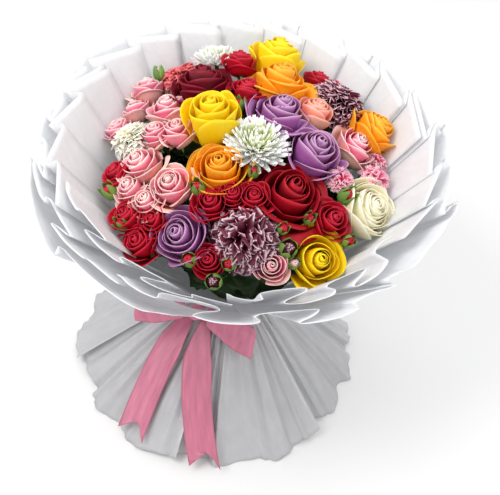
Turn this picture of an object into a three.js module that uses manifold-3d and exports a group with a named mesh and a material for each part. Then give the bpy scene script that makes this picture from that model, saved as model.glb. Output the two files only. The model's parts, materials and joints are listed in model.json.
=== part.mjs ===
// A round hand-tied bouquet of mixed flowers in a pleated paper wrap with a satin bow.
// Millimetres, +Z up, origin on the table under the binding point, front of the bouquet towards -Y.
// Bearings are degrees seen from above: 0 is the front (-Y), 90 the right (+X), 180 the back.
import * as THREE from "three";
import { mergeVertices } from "three/addons/utils/BufferGeometryUtils.js";
import Module from "manifold-3d";

const wasm = await Module();
wasm.setup();

// ---- Driving dimensions ----
const TIE_HEIGHT = 130;
const SPIRAL_REACH = 31;
const DOME_EDGE = 308;
const DOME_RISE = 66;
const DOME_RADIUS = 160;
const DOME_TILT = 0.2;
const HEAD_FILL = 0.8;
const STEM_RADIUS = 2.3;
const SPRAY_STEM_RADIUS = 2;
const BRANCH_RADIUS = 1.4;

const PAPER = 0.5;
const PAPER_FOOT = 120;
const PAPER_FLARE = 138;
const RIM_HEIGHT = 355;
const RIM_TILT = 15;
const PLEAT_PITCH = 15;
const PLEAT_LAP = 3.5;
const PLEAT_DEPTH = 5;
const PLEAT_STEP = 8;
const FOLD_EDGE = 0.9;
const SHINGLE = 8;
const INNER_WAIST = 33.5;
const OUTER_WAIST = 38;

const HEM_RADIUS = 177;
const HEM_LIFT = 14;
const SKIRT_TOP = 136;
const SKIRT_FLARE = 122;
const SKIRT_WAIST = 43;
const SKIRT_SHINGLE = 14;

const RIBBON = 0.6;
const RIBBON_WIDTH = 38;
const LOOP_PUFF = 9;
const LOOP_GAP = 40;
const TAIL_CLEARANCE = 24;
const NOTCH = 16;

// ---- Flowers: place on the dome, width of the open head, and lift above the dome ----
const STANDARDS = {
  rose_burgundy: { kind: "rose", at: [-60, 85], across: 64, lift: 4, color: 0x6e0523 },
  rose_yellow_mid: { kind: "rose", at: [-42, 14], across: 52, lift: 0, color: 0xf5ca08 },
  rose_orange_mid: { kind: "rose", at: [-27, -41], across: 56, lift: 0, color: 0xf7951c },
  rose_yellow_back: { kind: "rose", at: [20, 142], across: 54, lift: 22, color: 0xf5ca08 },
  rose_orange_back: { kind: "rose", at: [26, 96], across: 62, lift: 8, color: 0xf7951c },
  rose_lavender_back: { kind: "rose", at: [30, 44], across: 60, lift: 0, color: 0xa576a6 },
  rose_lavender_mid: { kind: "rose", at: [71, 4], across: 58, lift: 0, color: 0xa576a6 },
  rose_red_large: { kind: "rose", at: [50, -52], across: 70, lift: 0, color: 0xa5001e },
  rose_cream_right: { kind: "rose", at: [137, -29], across: 56, lift: 0, color: 0xf3eecb },
  rose_yellow_front: { kind: "rose", at: [86, -103], across: 58, lift: 0, color: 0xf5ca08 },
  rose_lavender_front: { kind: "rose", at: [-59, -103], across: 52, lift: 0, color: 0xa576a6 },
  rose_orange_right: { kind: "rose", at: [140, 74], across: 50, lift: 16, color: 0xf7951c },
  carnation_speckled_back: { kind: "carnation", at: [98, 110], across: 70, lift: 8, color: 0x7a1f3d },
  carnation_coral: { kind: "carnation", at: [-87, 122], across: 46, lift: 8, color: 0xe6686c },
  carnation_cream_left: { kind: "carnation", at: [-130, 21], across: 48, lift: 0, color: 0xf1e9d6 },
  chrysanthemum_centre: { kind: "chrysanthemum", at: [7, -6], across: 68, lift: 0, color: 0xf6f6ee },
  chrysanthemum_back: { kind: "chrysanthemum", at: [-50, 140], across: 54, lift: 20, color: 0xf6f6ee },
};

// A spray's first head ends the main stem; the others branch from it below the head.
const SPRAYS = {
  carnation_speckled_front: {
    kind: "carnation", color: 0x7a1f3d, drop: 70,
    heads: [[8, -101, 68, 0]],
    buds: [[-18, -140, 20, 0], [53, -104, 22, 0]],
  },
  spray_rose_pink_left: {
    kind: "rose", color: 0xf0a5b8, drop: 80,
    heads: [[-94, 52, 40, 0], [-79, 10, 32, 0], [-103, 14, 30, 0], [-133, 72, 30, 0], [-149, 43, 30, 0]],
    buds: [],
  },
  spray_rose_blush_left: {
    kind: "rose", color: 0xf3b9c0, drop: 70,
    heads: [[-114, -23, 40, 0], [-76, -55, 40, 0], [-120, -48, 32, 0], [-99, -67, 32, 0]],
    buds: [],
  },
  spray_rose_pink_back: {
    kind: "rose", color: 0xf2aeb4, drop: 60,
    heads: [[-124, 102, 34, 10]],
    buds: [[-114, 121, 16, 16]],
  },
  spray_rose_pink_right: {
    kind: "rose", color: 0xf0a5b8, drop: 60,
    heads: [[119, 46, 40, 0]],
    buds: [],
  },
  spray_carnation_pink_right: {
    kind: "carnation", color: 0xf0a0b4, drop: 70,
    heads: [[146, 15, 38, 0], [147, 44, 30, 0], [104, -15, 30, 0]],
    buds: [],
  },
  spray_rose_salmon_right: {
    kind: "rose", color: 0xf7a898, drop: 60,
    heads: [[69, 67, 34, 0]],
    buds: [],
  },
  spray_rose_pink_front: {
    kind: "rose", color: 0xf0909f, drop: 60,
    heads: [[38, -121, 30, 0]],
    buds: [[61, -114, 14, 0]],
  },
  spray_rose_red_left: {
    kind: "rose", color: 0xa80c28, drop: 60,
    heads: [[-138, -26, 30, 0]],
    buds: [[-140, -46, 20, 0]],
  },
  spray_rose_red_front_left: {
    kind: "rose", color: 0xb81230, drop: 70,
    heads: [[-100, -104, 34, 0], [-117, -77, 34, 0], [-88, -87, 26, 0]],
    buds: [[-120, -84, 18, 0]],
  },
  spray_rose_red_front: {
    kind: "rose", color: 0xb81230, drop: 60,
    heads: [[-26, -124, 28, 0]],
    buds: [[-45, -124, 18, 0], [-5, -126, 16, 0]],
  },
  spray_rose_red_middle: {
    kind: "rose", color: 0xb81230, drop: 70,
    heads: [[-11, -67, 24, 1], [-32, -76, 32, 1], [11, -67, 30, 0]],
    buds: [[-46, -62, 18, 0], [8, -43, 14, 0]],
  },
  spray_rose_red_back: {
    kind: "rose", color: 0xa80c28, drop: 70,
    heads: [[-10, 75, 34, 0], [-22, 118, 30, 20]],
    buds: [[-17, 40, 16, 0]],
  },
  spray_rose_red_right: {
    kind: "rose", color: 0xb81230, drop: 70,
    heads: [[96, -63, 34, 0]],
    buds: [[116, -75, 16, 0], [71, -73, 14, 1], [109, -33, 20, 0], [45, -89, 14, 0]],
  },
  spray_rose_red_back_right: {
    kind: "rose", color: 0xa80c28, drop: 60,
    heads: [[72, 148, 26, 12], [92, 146, 18, 14]],
    buds: [],
  },
};

// Head outlines: radius and height as fractions of the head's radius, from the calyx to the crown.
const OUTLINES = {
  rose: [[0, -0.75], [0.88, -0.2], [1, 0.2], [0.3, 0.6], [0, 0.66]],
  carnation: [[0, -0.95], [0.26, -0.9], [0.3, -0.4], [1, 0], [0.3, 0.52], [0, 0.58]],
  chrysanthemum: [[0, -0.5], [0.9, -0.3], [1, 0], [0.3, 0.6], [0, 0.66]],
  bud: [[0, -1], [0.9, -0.4], [0.9, 0.5], [0.3, 1.25], [0, 1.4]],
};
const HEAD_SIDES = 12;
const SPRAY_HEAD_SIDES = 10;
const BUD_SIDES = 8;

// ---- Small helpers ----
const degrees = THREE.MathUtils.degToRad;

function polar(bearing, radius, z) {
  const a = degrees(bearing);
  return new THREE.Vector3(radius * Math.sin(a), -radius * Math.cos(a), z);
}

function material(color, roughness = 0.7) {
  return new THREE.MeshStandardMaterial({ color, roughness, metalness: 0 });
}

function moved(geometry, place) {
  const points = geometry.attributes.position;
  const p = new THREE.Vector3();
  for (let i = 0; i < points.count; i += 1) {
    p.fromBufferAttribute(points, i);
    const q = place(p);
    points.setXYZ(i, q.x, q.y, q.z);
  }
  return geometry;
}

function toSolid(geometry) {
  const bare = geometry.clone();
  bare.deleteAttribute("normal");
  bare.deleteAttribute("uv");
  const merged = mergeVertices(bare, 1e-4);
  return new wasm.Manifold(new wasm.Mesh({
    numProp: 3,
    vertProperties: new Float32Array(merged.attributes.position.array),
    triVerts: new Uint32Array(merged.index.array),
  }));
}

function toGeometry(solid) {
  const mesh = solid.getMesh();
  const geometry = new THREE.BufferGeometry();
  geometry.setAttribute("position", new THREE.BufferAttribute(mesh.vertProperties, 3));
  geometry.setIndex(new THREE.BufferAttribute(mesh.triVerts, 1));
  return geometry;
}

function joined(geometries) {
  const solids = geometries.map(toSolid);
  return toGeometry(solids.reduce((all, next) => all.add(next)));
}

// ---- Flower stems: each is a straight line of a spiral that turns about the tie ----
function domeHeight(x, y, lift) {
  const r = Math.hypot(x, y) / DOME_RADIUS;
  return DOME_EDGE + DOME_RISE * (1 - r * r) + DOME_TILT * y + lift;
}

function spiralLine(x, y, z) {
  const h = z - TIE_HEIGHT;
  const d = h * h + SPIRAL_REACH * SPIRAL_REACH;
  const ux = (h * x + SPIRAL_REACH * y) / d;
  const uy = (h * y - SPIRAL_REACH * x) / d;
  const at = (height) => new THREE.Vector3(
    ux * (height - TIE_HEIGHT) - SPIRAL_REACH * uy,
    uy * (height - TIE_HEIGHT) + SPIRAL_REACH * ux,
    height,
  );
  return { at, axis: new THREE.Vector3(ux, uy, 1).normalize() };
}

function stalk(from, to, radius) {
  const height = to.z - from.z;
  const rod = new THREE.CylinderGeometry(radius, radius, height, 6);
  rod.rotateX(Math.PI / 2);
  return moved(rod, (p) => {
    const t = p.z / height + 0.5;
    return new THREE.Vector3(
      p.x + THREE.MathUtils.lerp(from.x, to.x, t),
      p.y + THREE.MathUtils.lerp(from.y, to.y, t),
      t > 0.5 ? to.z : from.z,
    );
  });
}

function head(kind, centre, axis, across, sides) {
  const radius = (across / 2) * HEAD_FILL;
  const outline = OUTLINES[kind].map(([r, z]) => new THREE.Vector2(r * radius, z * radius));
  const bloom = new THREE.LatheGeometry(outline, sides);
  const turn = new THREE.Quaternion().setFromUnitVectors(new THREE.Vector3(0, 1, 0), axis);
  bloom.applyQuaternion(turn);
  bloom.translate(centre.x, centre.y, centre.z);
  return bloom;
}

function standardFlower({ kind, at: [x, y], across, lift }) {
  const centre = new THREE.Vector3(x, y, domeHeight(x, y, lift));
  const line = spiralLine(centre.x, centre.y, centre.z);
  return joined([
    head(kind, centre, line.axis, across, HEAD_SIDES),
    stalk(line.at(0), centre, STEM_RADIUS),
  ]);
}

function sprayFlower({ kind, drop, heads, buds }) {
  const [x, y, , lift] = heads[0];
  const top = new THREE.Vector3(x, y, domeHeight(x, y, lift));
  const main = spiralLine(top.x, top.y, top.z);
  const pieces = [stalk(main.at(0), top, SPRAY_STEM_RADIUS)];
  const blooms = heads.map((row) => [kind, ...row]).concat(buds.map((row) => ["bud", ...row]));
  blooms.forEach(([shape, hx, hy, across, rise], i) => {
    const centre = new THREE.Vector3(hx, hy, domeHeight(hx, hy, rise));
    const own = spiralLine(centre.x, centre.y, centre.z);
    const sides = shape === "bud" ? BUD_SIDES : SPRAY_HEAD_SIDES;
    pieces.push(head(shape, centre, own.axis, across, sides));
    if (i > 0) {
      pieces.push(stalk(main.at(centre.z - drop), centre, BRANCH_RADIUS));
    }
  });
  return joined(pieces);
}

// ---- Sheets: a thin box bent so that s runs across and t runs up ----
// Each column is mitred between the faces beside it, so that both keep their thickness.
const LONGEST_MITRE = 2;
const TINY = 1e-3;

function sheetOffset(place, s, t, step) {
  const upward = place(s, t + TINY).sub(place(s, t - TINY));
  const face = (from, to) => upward.clone().cross(place(to, t).sub(place(from, t))).normalize();
  const ahead = s < 1 - TINY ? face(s, s + step) : face(s - step, s);
  const behind = s > TINY ? face(s - step, s) : face(s, s + step);
  const normal = ahead.add(behind).multiplyScalar(0.5);
  const cosine = normal.length();
  return normal.multiplyScalar(Math.min(1 / cosine, LONGEST_MITRE) / cosine);
}

function bentSheet(columns, rows, thickness, place) {
  return moved(new THREE.BoxGeometry(1, 1, 1, columns, 1, rows), (p) => {
    const s = Math.round((p.x + 0.5) * 1e6) / 1e6;
    const t = Math.round((p.z + 0.5) * 1e6) / 1e6;
    return place(s, t).addScaledVector(sheetOffset(place, s, t, 1 / columns), p.y * thickness);
  });
}

function rimHeight(bearing) {
  return RIM_HEIGHT - RIM_TILT * Math.cos(degrees(bearing));
}

// Height and openness (0 at the waist, 1 at the rim) of a collar sheet at t.
function collarRise(t, bearing) {
  const open = Math.max(0, (t - 0.2) / 0.8);
  if (t < 0.2) {
    return { z: PAPER_FOOT + (PAPER_FLARE - PAPER_FOOT) * (t / 0.2), open: 0 };
  }
  return { z: PAPER_FLARE + (rimHeight(bearing) - PAPER_FLARE) * open, open: open ** 0.9 };
}

// Knife pleats: each long face climbs outwards, laps past the next fold line, and a short face turns
// back under it. Each fold has a narrow flat edge, FOLD_EDGE either side of its line.
function pleatCorner(index) {
  const pleat = Math.floor(index / 4);
  const [ahead, lap, side] = [
    [0, 0, -1],
    [1, 1, 1],
    [1, 1, -1],
    [1, 0, 1],
  ][index % 4];
  return {
    bearing: (pleat + ahead) * PLEAT_PITCH + lap * PLEAT_LAP,
    depth: lap ? PLEAT_DEPTH : -PLEAT_DEPTH,
    step: lap ? PLEAT_STEP : 0,
    edge: side * FOLD_EDGE,
  };
}

function pleatedCollar({ start, pleats, rim, waist }) {
  const faces = 4 * pleats - 3;
  return bentSheet(faces, 5, PAPER, (s, t) => {
    const i = THREE.MathUtils.clamp(Math.floor(s * faces + 1e-4), 0, faces - 1);
    const low = pleatCorner(i);
    const high = pleatCorner(i + 1);
    const between = (key) => THREE.MathUtils.lerp(low[key], high[key], s * faces - i);
    const bearing = start + between("bearing");
    const rise = collarRise(t, bearing);
    const step = between("step") * rise.open ** 2;
    const scale = THREE.MathUtils.lerp(waist, rim, rise.open) / rim;
    const radius = scale * (rim + between("depth") + SHINGLE * (s - 0.5)) + between("edge");
    return polar(bearing, radius + 0.3 * step, rise.z + step);
  });
}

// Rounded folds: the edge leans to and fro as it goes round, and a curl makes its bends hang over.
function foldedCollar({ start, end, rim, waist, folds, lean, depth, curl = 0, phase = 0, tuck = 0 }) {
  return bentSheet((curl ? 9 : 6) * folds + 2, 5, PAPER, (s, t) => {
    const middle = THREE.MathUtils.lerp(start, end, s);
    const rise = collarRise(t, middle);
    const calm = Math.min(1, 5 * Math.min(s, 1 - s)) * rise.open;
    const turn = 2 * Math.PI * (folds * s + phase);
    const bearing = middle + (lean * Math.sin(turn) - curl * Math.sin(2 * turn)) * calm;
    const scale = THREE.MathUtils.lerp(waist, rim, rise.open) / rim;
    const tucked = tuck * rise.open * THREE.MathUtils.smoothstep(s, 0.7, 0.95);
    const radius = rim + depth * Math.sin(turn) * calm + SHINGLE * (s - 0.5) - tucked;
    return polar(bearing, scale * radius, rise.z);
  });
}

// The outermost front flap: its lower edge stands away from the waist and carries the gilt trim.
const FLAP = { start: -78, end: -14, low: [126, 56], lowZ: [178, 141], rim: 228, sway: 7, depth: 7 };
const FLAP_BULGE = 8;
const GILT = { inset: 0.02, gap: 0.4, drop: 2, below: 0.9, thickness: 1 };

function flapPoint(s, t) {
  const middle = THREE.MathUtils.lerp(FLAP.start, FLAP.end, s);
  const radius = THREE.MathUtils.lerp(FLAP.low[0], FLAP.low[1], s);
  const z = THREE.MathUtils.lerp(FLAP.lowZ[0], FLAP.lowZ[1], s);
  const arch = Math.sin(Math.PI * s);
  const wave = Math.sin(4 * Math.PI * s) * t * arch;
  const edge = FLAP.rim - FLAP.depth * wave + FLAP_BULGE * arch;
  return polar(
    middle - FLAP.sway * wave,
    THREE.MathUtils.lerp(radius, edge, Math.max(0, t) ** 0.9),
    THREE.MathUtils.lerp(z, rimHeight(middle) - 4, t),
  );
}

function giltTrim() {
  return bentSheet(12, 1, GILT.thickness, (s, t) => {
    const edge = flapPoint(GILT.inset + (1 - 2 * GILT.inset) * s, 0);
    const out = polar(THREE.MathUtils.lerp(FLAP.start, FLAP.end, s), 1, 0);
    const fall = GILT.drop * (1 - t);
    return edge.addScaledVector(out, -GILT.gap - 0.6 * fall).setZ(edge.z - GILT.below - fall);
  });
}

// ---- Skirt: sheets that hang from the waist to the table, hem corners lifted ----
function hemRadius(bearing) {
  const a = degrees(bearing);
  return HEM_RADIUS + 4 * Math.cos(a) - 10 * Math.sin(a);
}

function skirtPoint(bearing, t, outward, hemZ) {
  if (t > 0.8) {
    const z = THREE.MathUtils.lerp(SKIRT_FLARE, SKIRT_TOP, (t - 0.8) / 0.2);
    return polar(bearing, SKIRT_WAIST + (outward * SKIRT_WAIST) / HEM_RADIUS, z);
  }
  const down = 1 - t / 0.8;
  const rim = hemRadius(bearing);
  const radius = THREE.MathUtils.lerp(SKIRT_WAIST, rim, down);
  const z = THREE.MathUtils.lerp(SKIRT_FLARE, hemZ, down ** 1.05);
  return polar(bearing, radius * (1 + outward / rim), z);
}

function skirtSheet({ start, end, folds, phase }) {
  return bentSheet(14, 5, PAPER, (s, t) => {
    const middle = THREE.MathUtils.lerp(start, end, s);
    const calm = Math.min(1, 5 * Math.min(s, 1 - s));
    const wave = Math.sin(2 * Math.PI * (folds * s + phase)) * calm;
    const hemZ = PAPER + HEM_LIFT * Math.abs(2 * s - 1) ** 3;
    return skirtPoint(middle - 2 * wave * (1 - t), t, 5 * wave + SKIRT_SHINGLE * (s - 0.5), hemZ);
  });
}

// ---- Ribbon and binding ----
function ring(inner, outer, low, high, sides = 28) {
  const profile = [[inner, low], [outer, low], [outer, high], [inner, high], [inner, low]];
  const turned = new THREE.LatheGeometry(profile.map(([r, z]) => new THREE.Vector2(r, z)), sides);
  return turned.rotateX(Math.PI / 2);
}

const KNOT = polar(-36, 64, 129);
const SLOPE_OUT = new THREE.Vector3(0, -0.66, 0.75);
const SLOPE_DOWN = new THREE.Vector3(0, -0.75, -0.66);

function knot() {
  const bead = new THREE.SphereGeometry(1, 12, 8);
  bead.scale(10, 9, 11);
  bead.rotateX(degrees(-42));
  return bead.translate(KNOT.x, KNOT.y, KNOT.z);
}

// A flat ribbon loop: out of the knot along one face and back along the other.
function bowLoop(tip) {
  const along = tip.clone().sub(KNOT);
  return bentSheet(16, 2, RIBBON, (s, t) => {
    const turn = degrees(LOOP_GAP + (360 - 2 * LOOP_GAP) * s);
    const far = (1 - Math.cos(turn)) / 2;
    const width = RIBBON_WIDTH * (0.35 + 0.65 * Math.min(1, far * 1.6));
    return KNOT.clone()
      .addScaledVector(along, 0.1 + 0.9 * far)
      .addScaledVector(SLOPE_OUT, LOOP_PUFF * Math.sin(turn) * (1 - 0.3 * far))
      .addScaledVector(SLOPE_DOWN, width * (t - 0.5));
  });
}

// A tail leaves the knot, lies down the skirt and ends in a swallow-tail cut.
function bowTail({ bearing, endBearing, endT, lean }) {
  const edge = (s, side) => {
    const middle = THREE.MathUtils.lerp(bearing, endBearing, Math.max(0, s) ** 0.8);
    const t = THREE.MathUtils.lerp(0.77, endT, s);
    const half = (RIBBON_WIDTH / 2) * Math.min(1, 0.3 + 2.2 * s);
    const notch = s > 0.999 ? NOTCH * (1 - Math.abs(side)) : 0;
    const outward = TAIL_CLEARANCE + lean * Math.sin(2 * Math.PI * s);
    const base = skirtPoint(middle, t + notch / 200, outward, 4);
    const tangent = polar(middle + 90, 1, 0);
    return base.addScaledVector(tangent, side * half);
  };
  return bentSheet(2, 10, RIBBON, (across, down) => edge(1 - down, 2 * across - 1));
}

// ---- Assembly ----
const bouquet = new THREE.Group();

function addNode(name, geometry, look) {
  const mesh = new THREE.Mesh(geometry, look);
  mesh.name = name;
  bouquet.add(mesh);
}

Object.entries(STANDARDS).forEach(([name, flower]) => {
  addNode(name, standardFlower(flower), material(flower.color));
});

Object.entries(SPRAYS).forEach(([name, flower]) => {
  addNode(name, sprayFlower(flower), material(flower.color));
});

const COLLAR_BACK_SHEETS = 5;
for (let i = 0; i < COLLAR_BACK_SHEETS; i += 1) {
  const sheet = { start: 60 + 45 * i, pleats: 4, rim: 203, waist: INNER_WAIST };
  addNode(`collar_back_${i + 1}`, pleatedCollar(sheet), material(0xe8ebee));
}

const FRONT = { folds: 3, lean: -2.5, curl: 4.5, depth: 9 };
const REAR = { folds: 2, lean: -5, depth: -4, waist: OUTER_WAIST };
const FOLDED_SHEETS = {
  collar_inner_left: { ...FRONT, start: -66, end: 1, rim: 199, waist: INNER_WAIST, depth: 5 },
  collar_inner_right: { ...FRONT, start: -1, end: 59, rim: 195, waist: INNER_WAIST, tuck: 18 },
  collar_outer_front: { ...FRONT, start: -30, end: 45, rim: 219, waist: OUTER_WAIST },
  collar_outer_right: { ...REAR, start: 43, end: 112, rim: 222, lean: -11, depth: -6 },
  collar_outer_back_right: { ...REAR, start: 106, end: 180, rim: 222 },
  collar_outer_back_left: { ...REAR, start: 174, end: 248, rim: 222 },
  collar_outer_left: { ...FRONT, start: 244, end: 332, rim: 220, waist: OUTER_WAIST, folds: 4, depth: 5 },
};
Object.entries(FOLDED_SHEETS).forEach(([name, sheet]) => {
  addNode(name, foldedCollar(sheet), material(0xeeeeec));
});
addNode("collar_front_flap", bentSheet(14, 5, PAPER, flapPoint), material(0xf2f1ec));
addNode("gilt_edge_trim", giltTrim(), new THREE.MeshStandardMaterial({ color: 0xc99a2e, metalness: 1 }));

const SKIRT_SHEETS = 6;
for (let i = 0; i < SKIRT_SHEETS; i += 1) {
  const start = -78 + 60 * i;
  const sheet = { start, end: start + 66, folds: 3, phase: 0.17 * i };
  addNode(`skirt_${i + 1}`, skirtSheet(sheet), material(0xd6d8da));
}

const SATIN = 0xc0738a;
addNode("binding_twine", ring(29, 30.8, 127, 133), material(0xb89a6a, 0.9));
addNode("ribbon_band", ring(46.2, 47.4, 124, 136), material(SATIN, 0.35));
addNode("ribbon_knot", knot(), material(SATIN, 0.35));
addNode("ribbon_loop_left", bowLoop(new THREE.Vector3(-108, -62, 143)), material(SATIN, 0.35));
addNode("ribbon_loop_right", bowLoop(new THREE.Vector3(34, -79, 118)), material(SATIN, 0.35));
const TAILS = {
  ribbon_tail_left: { bearing: -47, endBearing: -31, endT: 0.09, lean: 3 },
  ribbon_tail_right: { bearing: -26, endBearing: -1, endT: 0.06, lean: 3 },
};
Object.entries(TAILS).forEach(([name, tail]) => addNode(name, bowTail(tail), material(SATIN, 0.35)));

export default bouquet;
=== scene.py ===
"""A hand-tied bouquet of mixed flowers, with its paper wrap, skirt and satin bow."""

import json
from collections import defaultdict, namedtuple
from math import cos, pi, radians, sin

import bmesh
import bpy
import numpy as np
from mathutils import Matrix, Vector


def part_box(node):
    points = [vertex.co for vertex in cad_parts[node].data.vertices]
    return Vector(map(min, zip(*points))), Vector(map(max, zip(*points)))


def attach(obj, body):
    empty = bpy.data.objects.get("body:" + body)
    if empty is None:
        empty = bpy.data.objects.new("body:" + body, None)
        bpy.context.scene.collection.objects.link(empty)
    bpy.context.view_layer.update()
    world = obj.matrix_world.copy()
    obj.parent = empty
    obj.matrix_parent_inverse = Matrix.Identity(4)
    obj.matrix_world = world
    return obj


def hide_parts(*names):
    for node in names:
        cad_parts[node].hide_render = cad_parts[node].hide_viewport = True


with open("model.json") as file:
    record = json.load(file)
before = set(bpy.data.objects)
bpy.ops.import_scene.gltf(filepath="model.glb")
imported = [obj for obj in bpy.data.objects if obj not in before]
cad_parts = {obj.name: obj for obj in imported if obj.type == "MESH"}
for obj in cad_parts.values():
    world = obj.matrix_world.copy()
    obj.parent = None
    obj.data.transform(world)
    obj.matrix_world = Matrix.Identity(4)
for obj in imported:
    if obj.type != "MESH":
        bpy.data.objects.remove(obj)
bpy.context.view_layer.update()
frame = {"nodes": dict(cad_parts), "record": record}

# All lengths are in metres.
GOLDEN_ANGLE = pi * (3 - 5 ** 0.5)
# Points closer together than this are one point.
WELD = 1e-5


# ---- Camera, floor and lights ----
CAMERA_ELEVATION = radians(46.5)
CAMERA_DISTANCE = 1.08
CAMERA_ROLL = radians(7.3)
CAMERA_LENS = 66.6
AIM_HEIGHT = 0.225
AIM_RIGHT = 0.0163
AIM_DOWN = 0.0173
SENSOR_WIDTH = 36
FLOOR_REACH = 6.0
FLOOR_COLOUR = (0.9, 0.9, 0.9, 1)
FLOOR_ROUGHNESS = 0.8
WORLD_STRENGTH = 0.75
LIGHT_AIM = Vector((0, 0, 0.2))
# Each light's name, place, size, power and colour.
LIGHTS = (
    ("key_light", (-0.9, -0.5, 1.7), 0.8, 16, (1, 0.985, 0.96)),
    ("fill_light", (1.4, -1.0, 1.1), 1.4, 6, (1, 1, 1)),
    ("top_light", (0.1, 0.7, 1.9), 1.2, 9, (1, 1, 1)),
)


def make_camera():
    back = Vector((0, -cos(CAMERA_ELEVATION), sin(CAMERA_ELEVATION)))
    right = Vector((1, 0, 0))
    up = Vector((0, sin(CAMERA_ELEVATION), cos(CAMERA_ELEVATION)))
    place = Vector((0, 0, AIM_HEIGHT)) + back * CAMERA_DISTANCE
    aim = Vector((0, 0, AIM_HEIGHT)) + right * AIM_RIGHT - up * AIM_DOWN
    look = (place - aim).normalized()
    side = up.cross(look).normalized()
    top = look.cross(side)
    tilt_side = side * cos(CAMERA_ROLL) + top * sin(CAMERA_ROLL)
    tilt_top = top * cos(CAMERA_ROLL) - side * sin(CAMERA_ROLL)
    data = bpy.data.cameras.new("camera")
    data.lens = CAMERA_LENS
    data.sensor_width = SENSOR_WIDTH
    camera = bpy.data.objects.new("camera", data)
    camera.matrix_world = Matrix.Translation(place) @ Matrix(
        (tilt_side, tilt_top, look)
    ).transposed().to_4x4()
    bpy.context.scene.collection.objects.link(camera)
    bpy.context.scene.camera = camera


def make_light(name, place, size, power, colour):
    data = bpy.data.lights.new(name, "AREA")
    data.size = size
    data.energy = power
    data.color = colour
    light = bpy.data.objects.new(name, data)
    light.location = place
    aim = LIGHT_AIM - Vector(place)
    light.rotation_euler = aim.to_track_quat("-Z", "Y").to_euler()
    bpy.context.scene.collection.objects.link(light)


def make_stage():
    mesh = bpy.data.meshes.new("floor")
    reach = FLOOR_REACH
    corners = [(-reach, -reach, 0), (reach, -reach, 0), (reach, reach, 0), (-reach, reach, 0)]
    mesh.from_pydata(corners, [], [(0, 1, 2, 3)])
    floor = bpy.data.objects.new("floor", mesh)
    bpy.context.scene.collection.objects.link(floor)
    look = bpy.data.materials.new("pale_floor")
    look.use_nodes = True
    shader = look.node_tree.nodes["Principled BSDF"]
    shader.inputs["Base Color"].default_value = FLOOR_COLOUR
    shader.inputs["Roughness"].default_value = FLOOR_ROUGHNESS
    mesh.materials.append(look)
    world = bpy.data.worlds.new("studio")
    world.use_nodes = True
    sky = world.node_tree.nodes["Background"]
    sky.inputs["Color"].default_value = (1, 1, 1, 1)
    sky.inputs["Strength"].default_value = WORLD_STRENGTH
    bpy.context.scene.world = world
    bpy.context.scene.view_settings.view_transform = "Standard"
    for light in LIGHTS:
        make_light(*light)


make_camera()
make_stage()


# ---- Reading the frame ----
Crown = namedtuple("Crown", "tip axis radius sides")


def welded(node):
    """A node's points, each kept once, and its triangles as rows of indices."""
    mesh = frame["nodes"][node].data
    co = np.empty(len(mesh.vertices) * 3)
    mesh.vertices.foreach_get("co", co)
    places = np.round(co.reshape(-1, 3) / WELD).astype(int)
    keys, inverse = np.unique(places, axis=0, return_inverse=True)
    mesh.calc_loop_triangles()
    corners = np.empty(len(mesh.loop_triangles) * 3, dtype=int)
    mesh.loop_triangles.foreach_get("vertices", corners)
    tris = inverse.reshape(-1)[corners].reshape(-1, 3)
    apart = (tris[:, 0] != tris[:, 1]) & (tris[:, 1] != tris[:, 2]) & (tris[:, 0] != tris[:, 2])
    return keys * WELD, tris[apart]


def neighbours(tris):
    near = defaultdict(set)
    for a, b, c in tris.tolist():
        near[a].update((b, c))
        near[b].update((a, c))
        near[c].update((a, b))
    return near


# The first ring of a head lies at this share of its radius, and a head fills this share of the bloom.
CROWN_RING = 0.3
HEAD_FILL = 0.8
# The number of sides of a crown tells a standard head, a spray head and a bud apart.
STANDARD_SIDES, SPRAY_SIDES, BUD_SIDES = 12, 10, 8
# The largest bloom radius by the number of sides, and the smallest of all.
LARGEST = {STANDARD_SIDES: 0.045, SPRAY_SIDES: 0.045, BUD_SIDES: 0.015}
SMALLEST = 0.004
# How far from round a crown's ring may be, as a share of its radius.
OUT_OF_ROUND = 0.03
# A stem's points below this height are its cut end.
CUT_END = 1e-4


def crowns(node):
    """The crowns of the heads in a node: a fan of many equal triangles about one tip."""
    points, tris = welded(node)
    found = []
    for tip, ring in neighbours(tris).items():
        if len(ring) not in LARGEST:
            continue
        around = points[list(ring)]
        middle = around.mean(axis=0)
        radius = np.linalg.norm(around - middle, axis=1)
        if np.ptp(radius) > OUT_OF_ROUND * radius.mean():
            continue
        axis = points[tip] - middle
        axis = axis / np.linalg.norm(axis)
        bloom = radius.mean() / CROWN_RING / HEAD_FILL
        if axis[2] > 0 and SMALLEST < bloom < LARGEST[len(ring)]:
            found.append(Crown(points[tip], axis, bloom, len(ring)))
    return sorted(found, key=lambda crown: -crown.radius)


def stem_foot(node):
    points = welded(node)[0]
    return points[points[:, 2] < CUT_END].mean(axis=0)


def steps_from(start, near, allowed):
    """How many edges each point lies from the start points."""
    steps = {v: 0 for v in start}
    front = list(start)
    while front:
        ahead = []
        for v in front:
            for w in near[v]:
                if w in allowed and w not in steps:
                    steps[w] = steps[v] + 1
                    ahead.append(w)
        front = ahead
    return steps


def points_behind(points):
    """For each point of a thin sheet, the point on its other face: the closest pairs are made first."""
    apart = np.linalg.norm(points[:, None] - points[None], axis=2)
    np.fill_diagonal(apart, np.inf)
    behind = np.full(len(points), -1)
    for pair in np.argsort(apart, axis=None):
        a, b = divmod(int(pair), len(points))
        if behind[a] < 0 and behind[b] < 0:
            behind[a], behind[b] = b, a
            if behind.min() >= 0:
                break
    return behind


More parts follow.
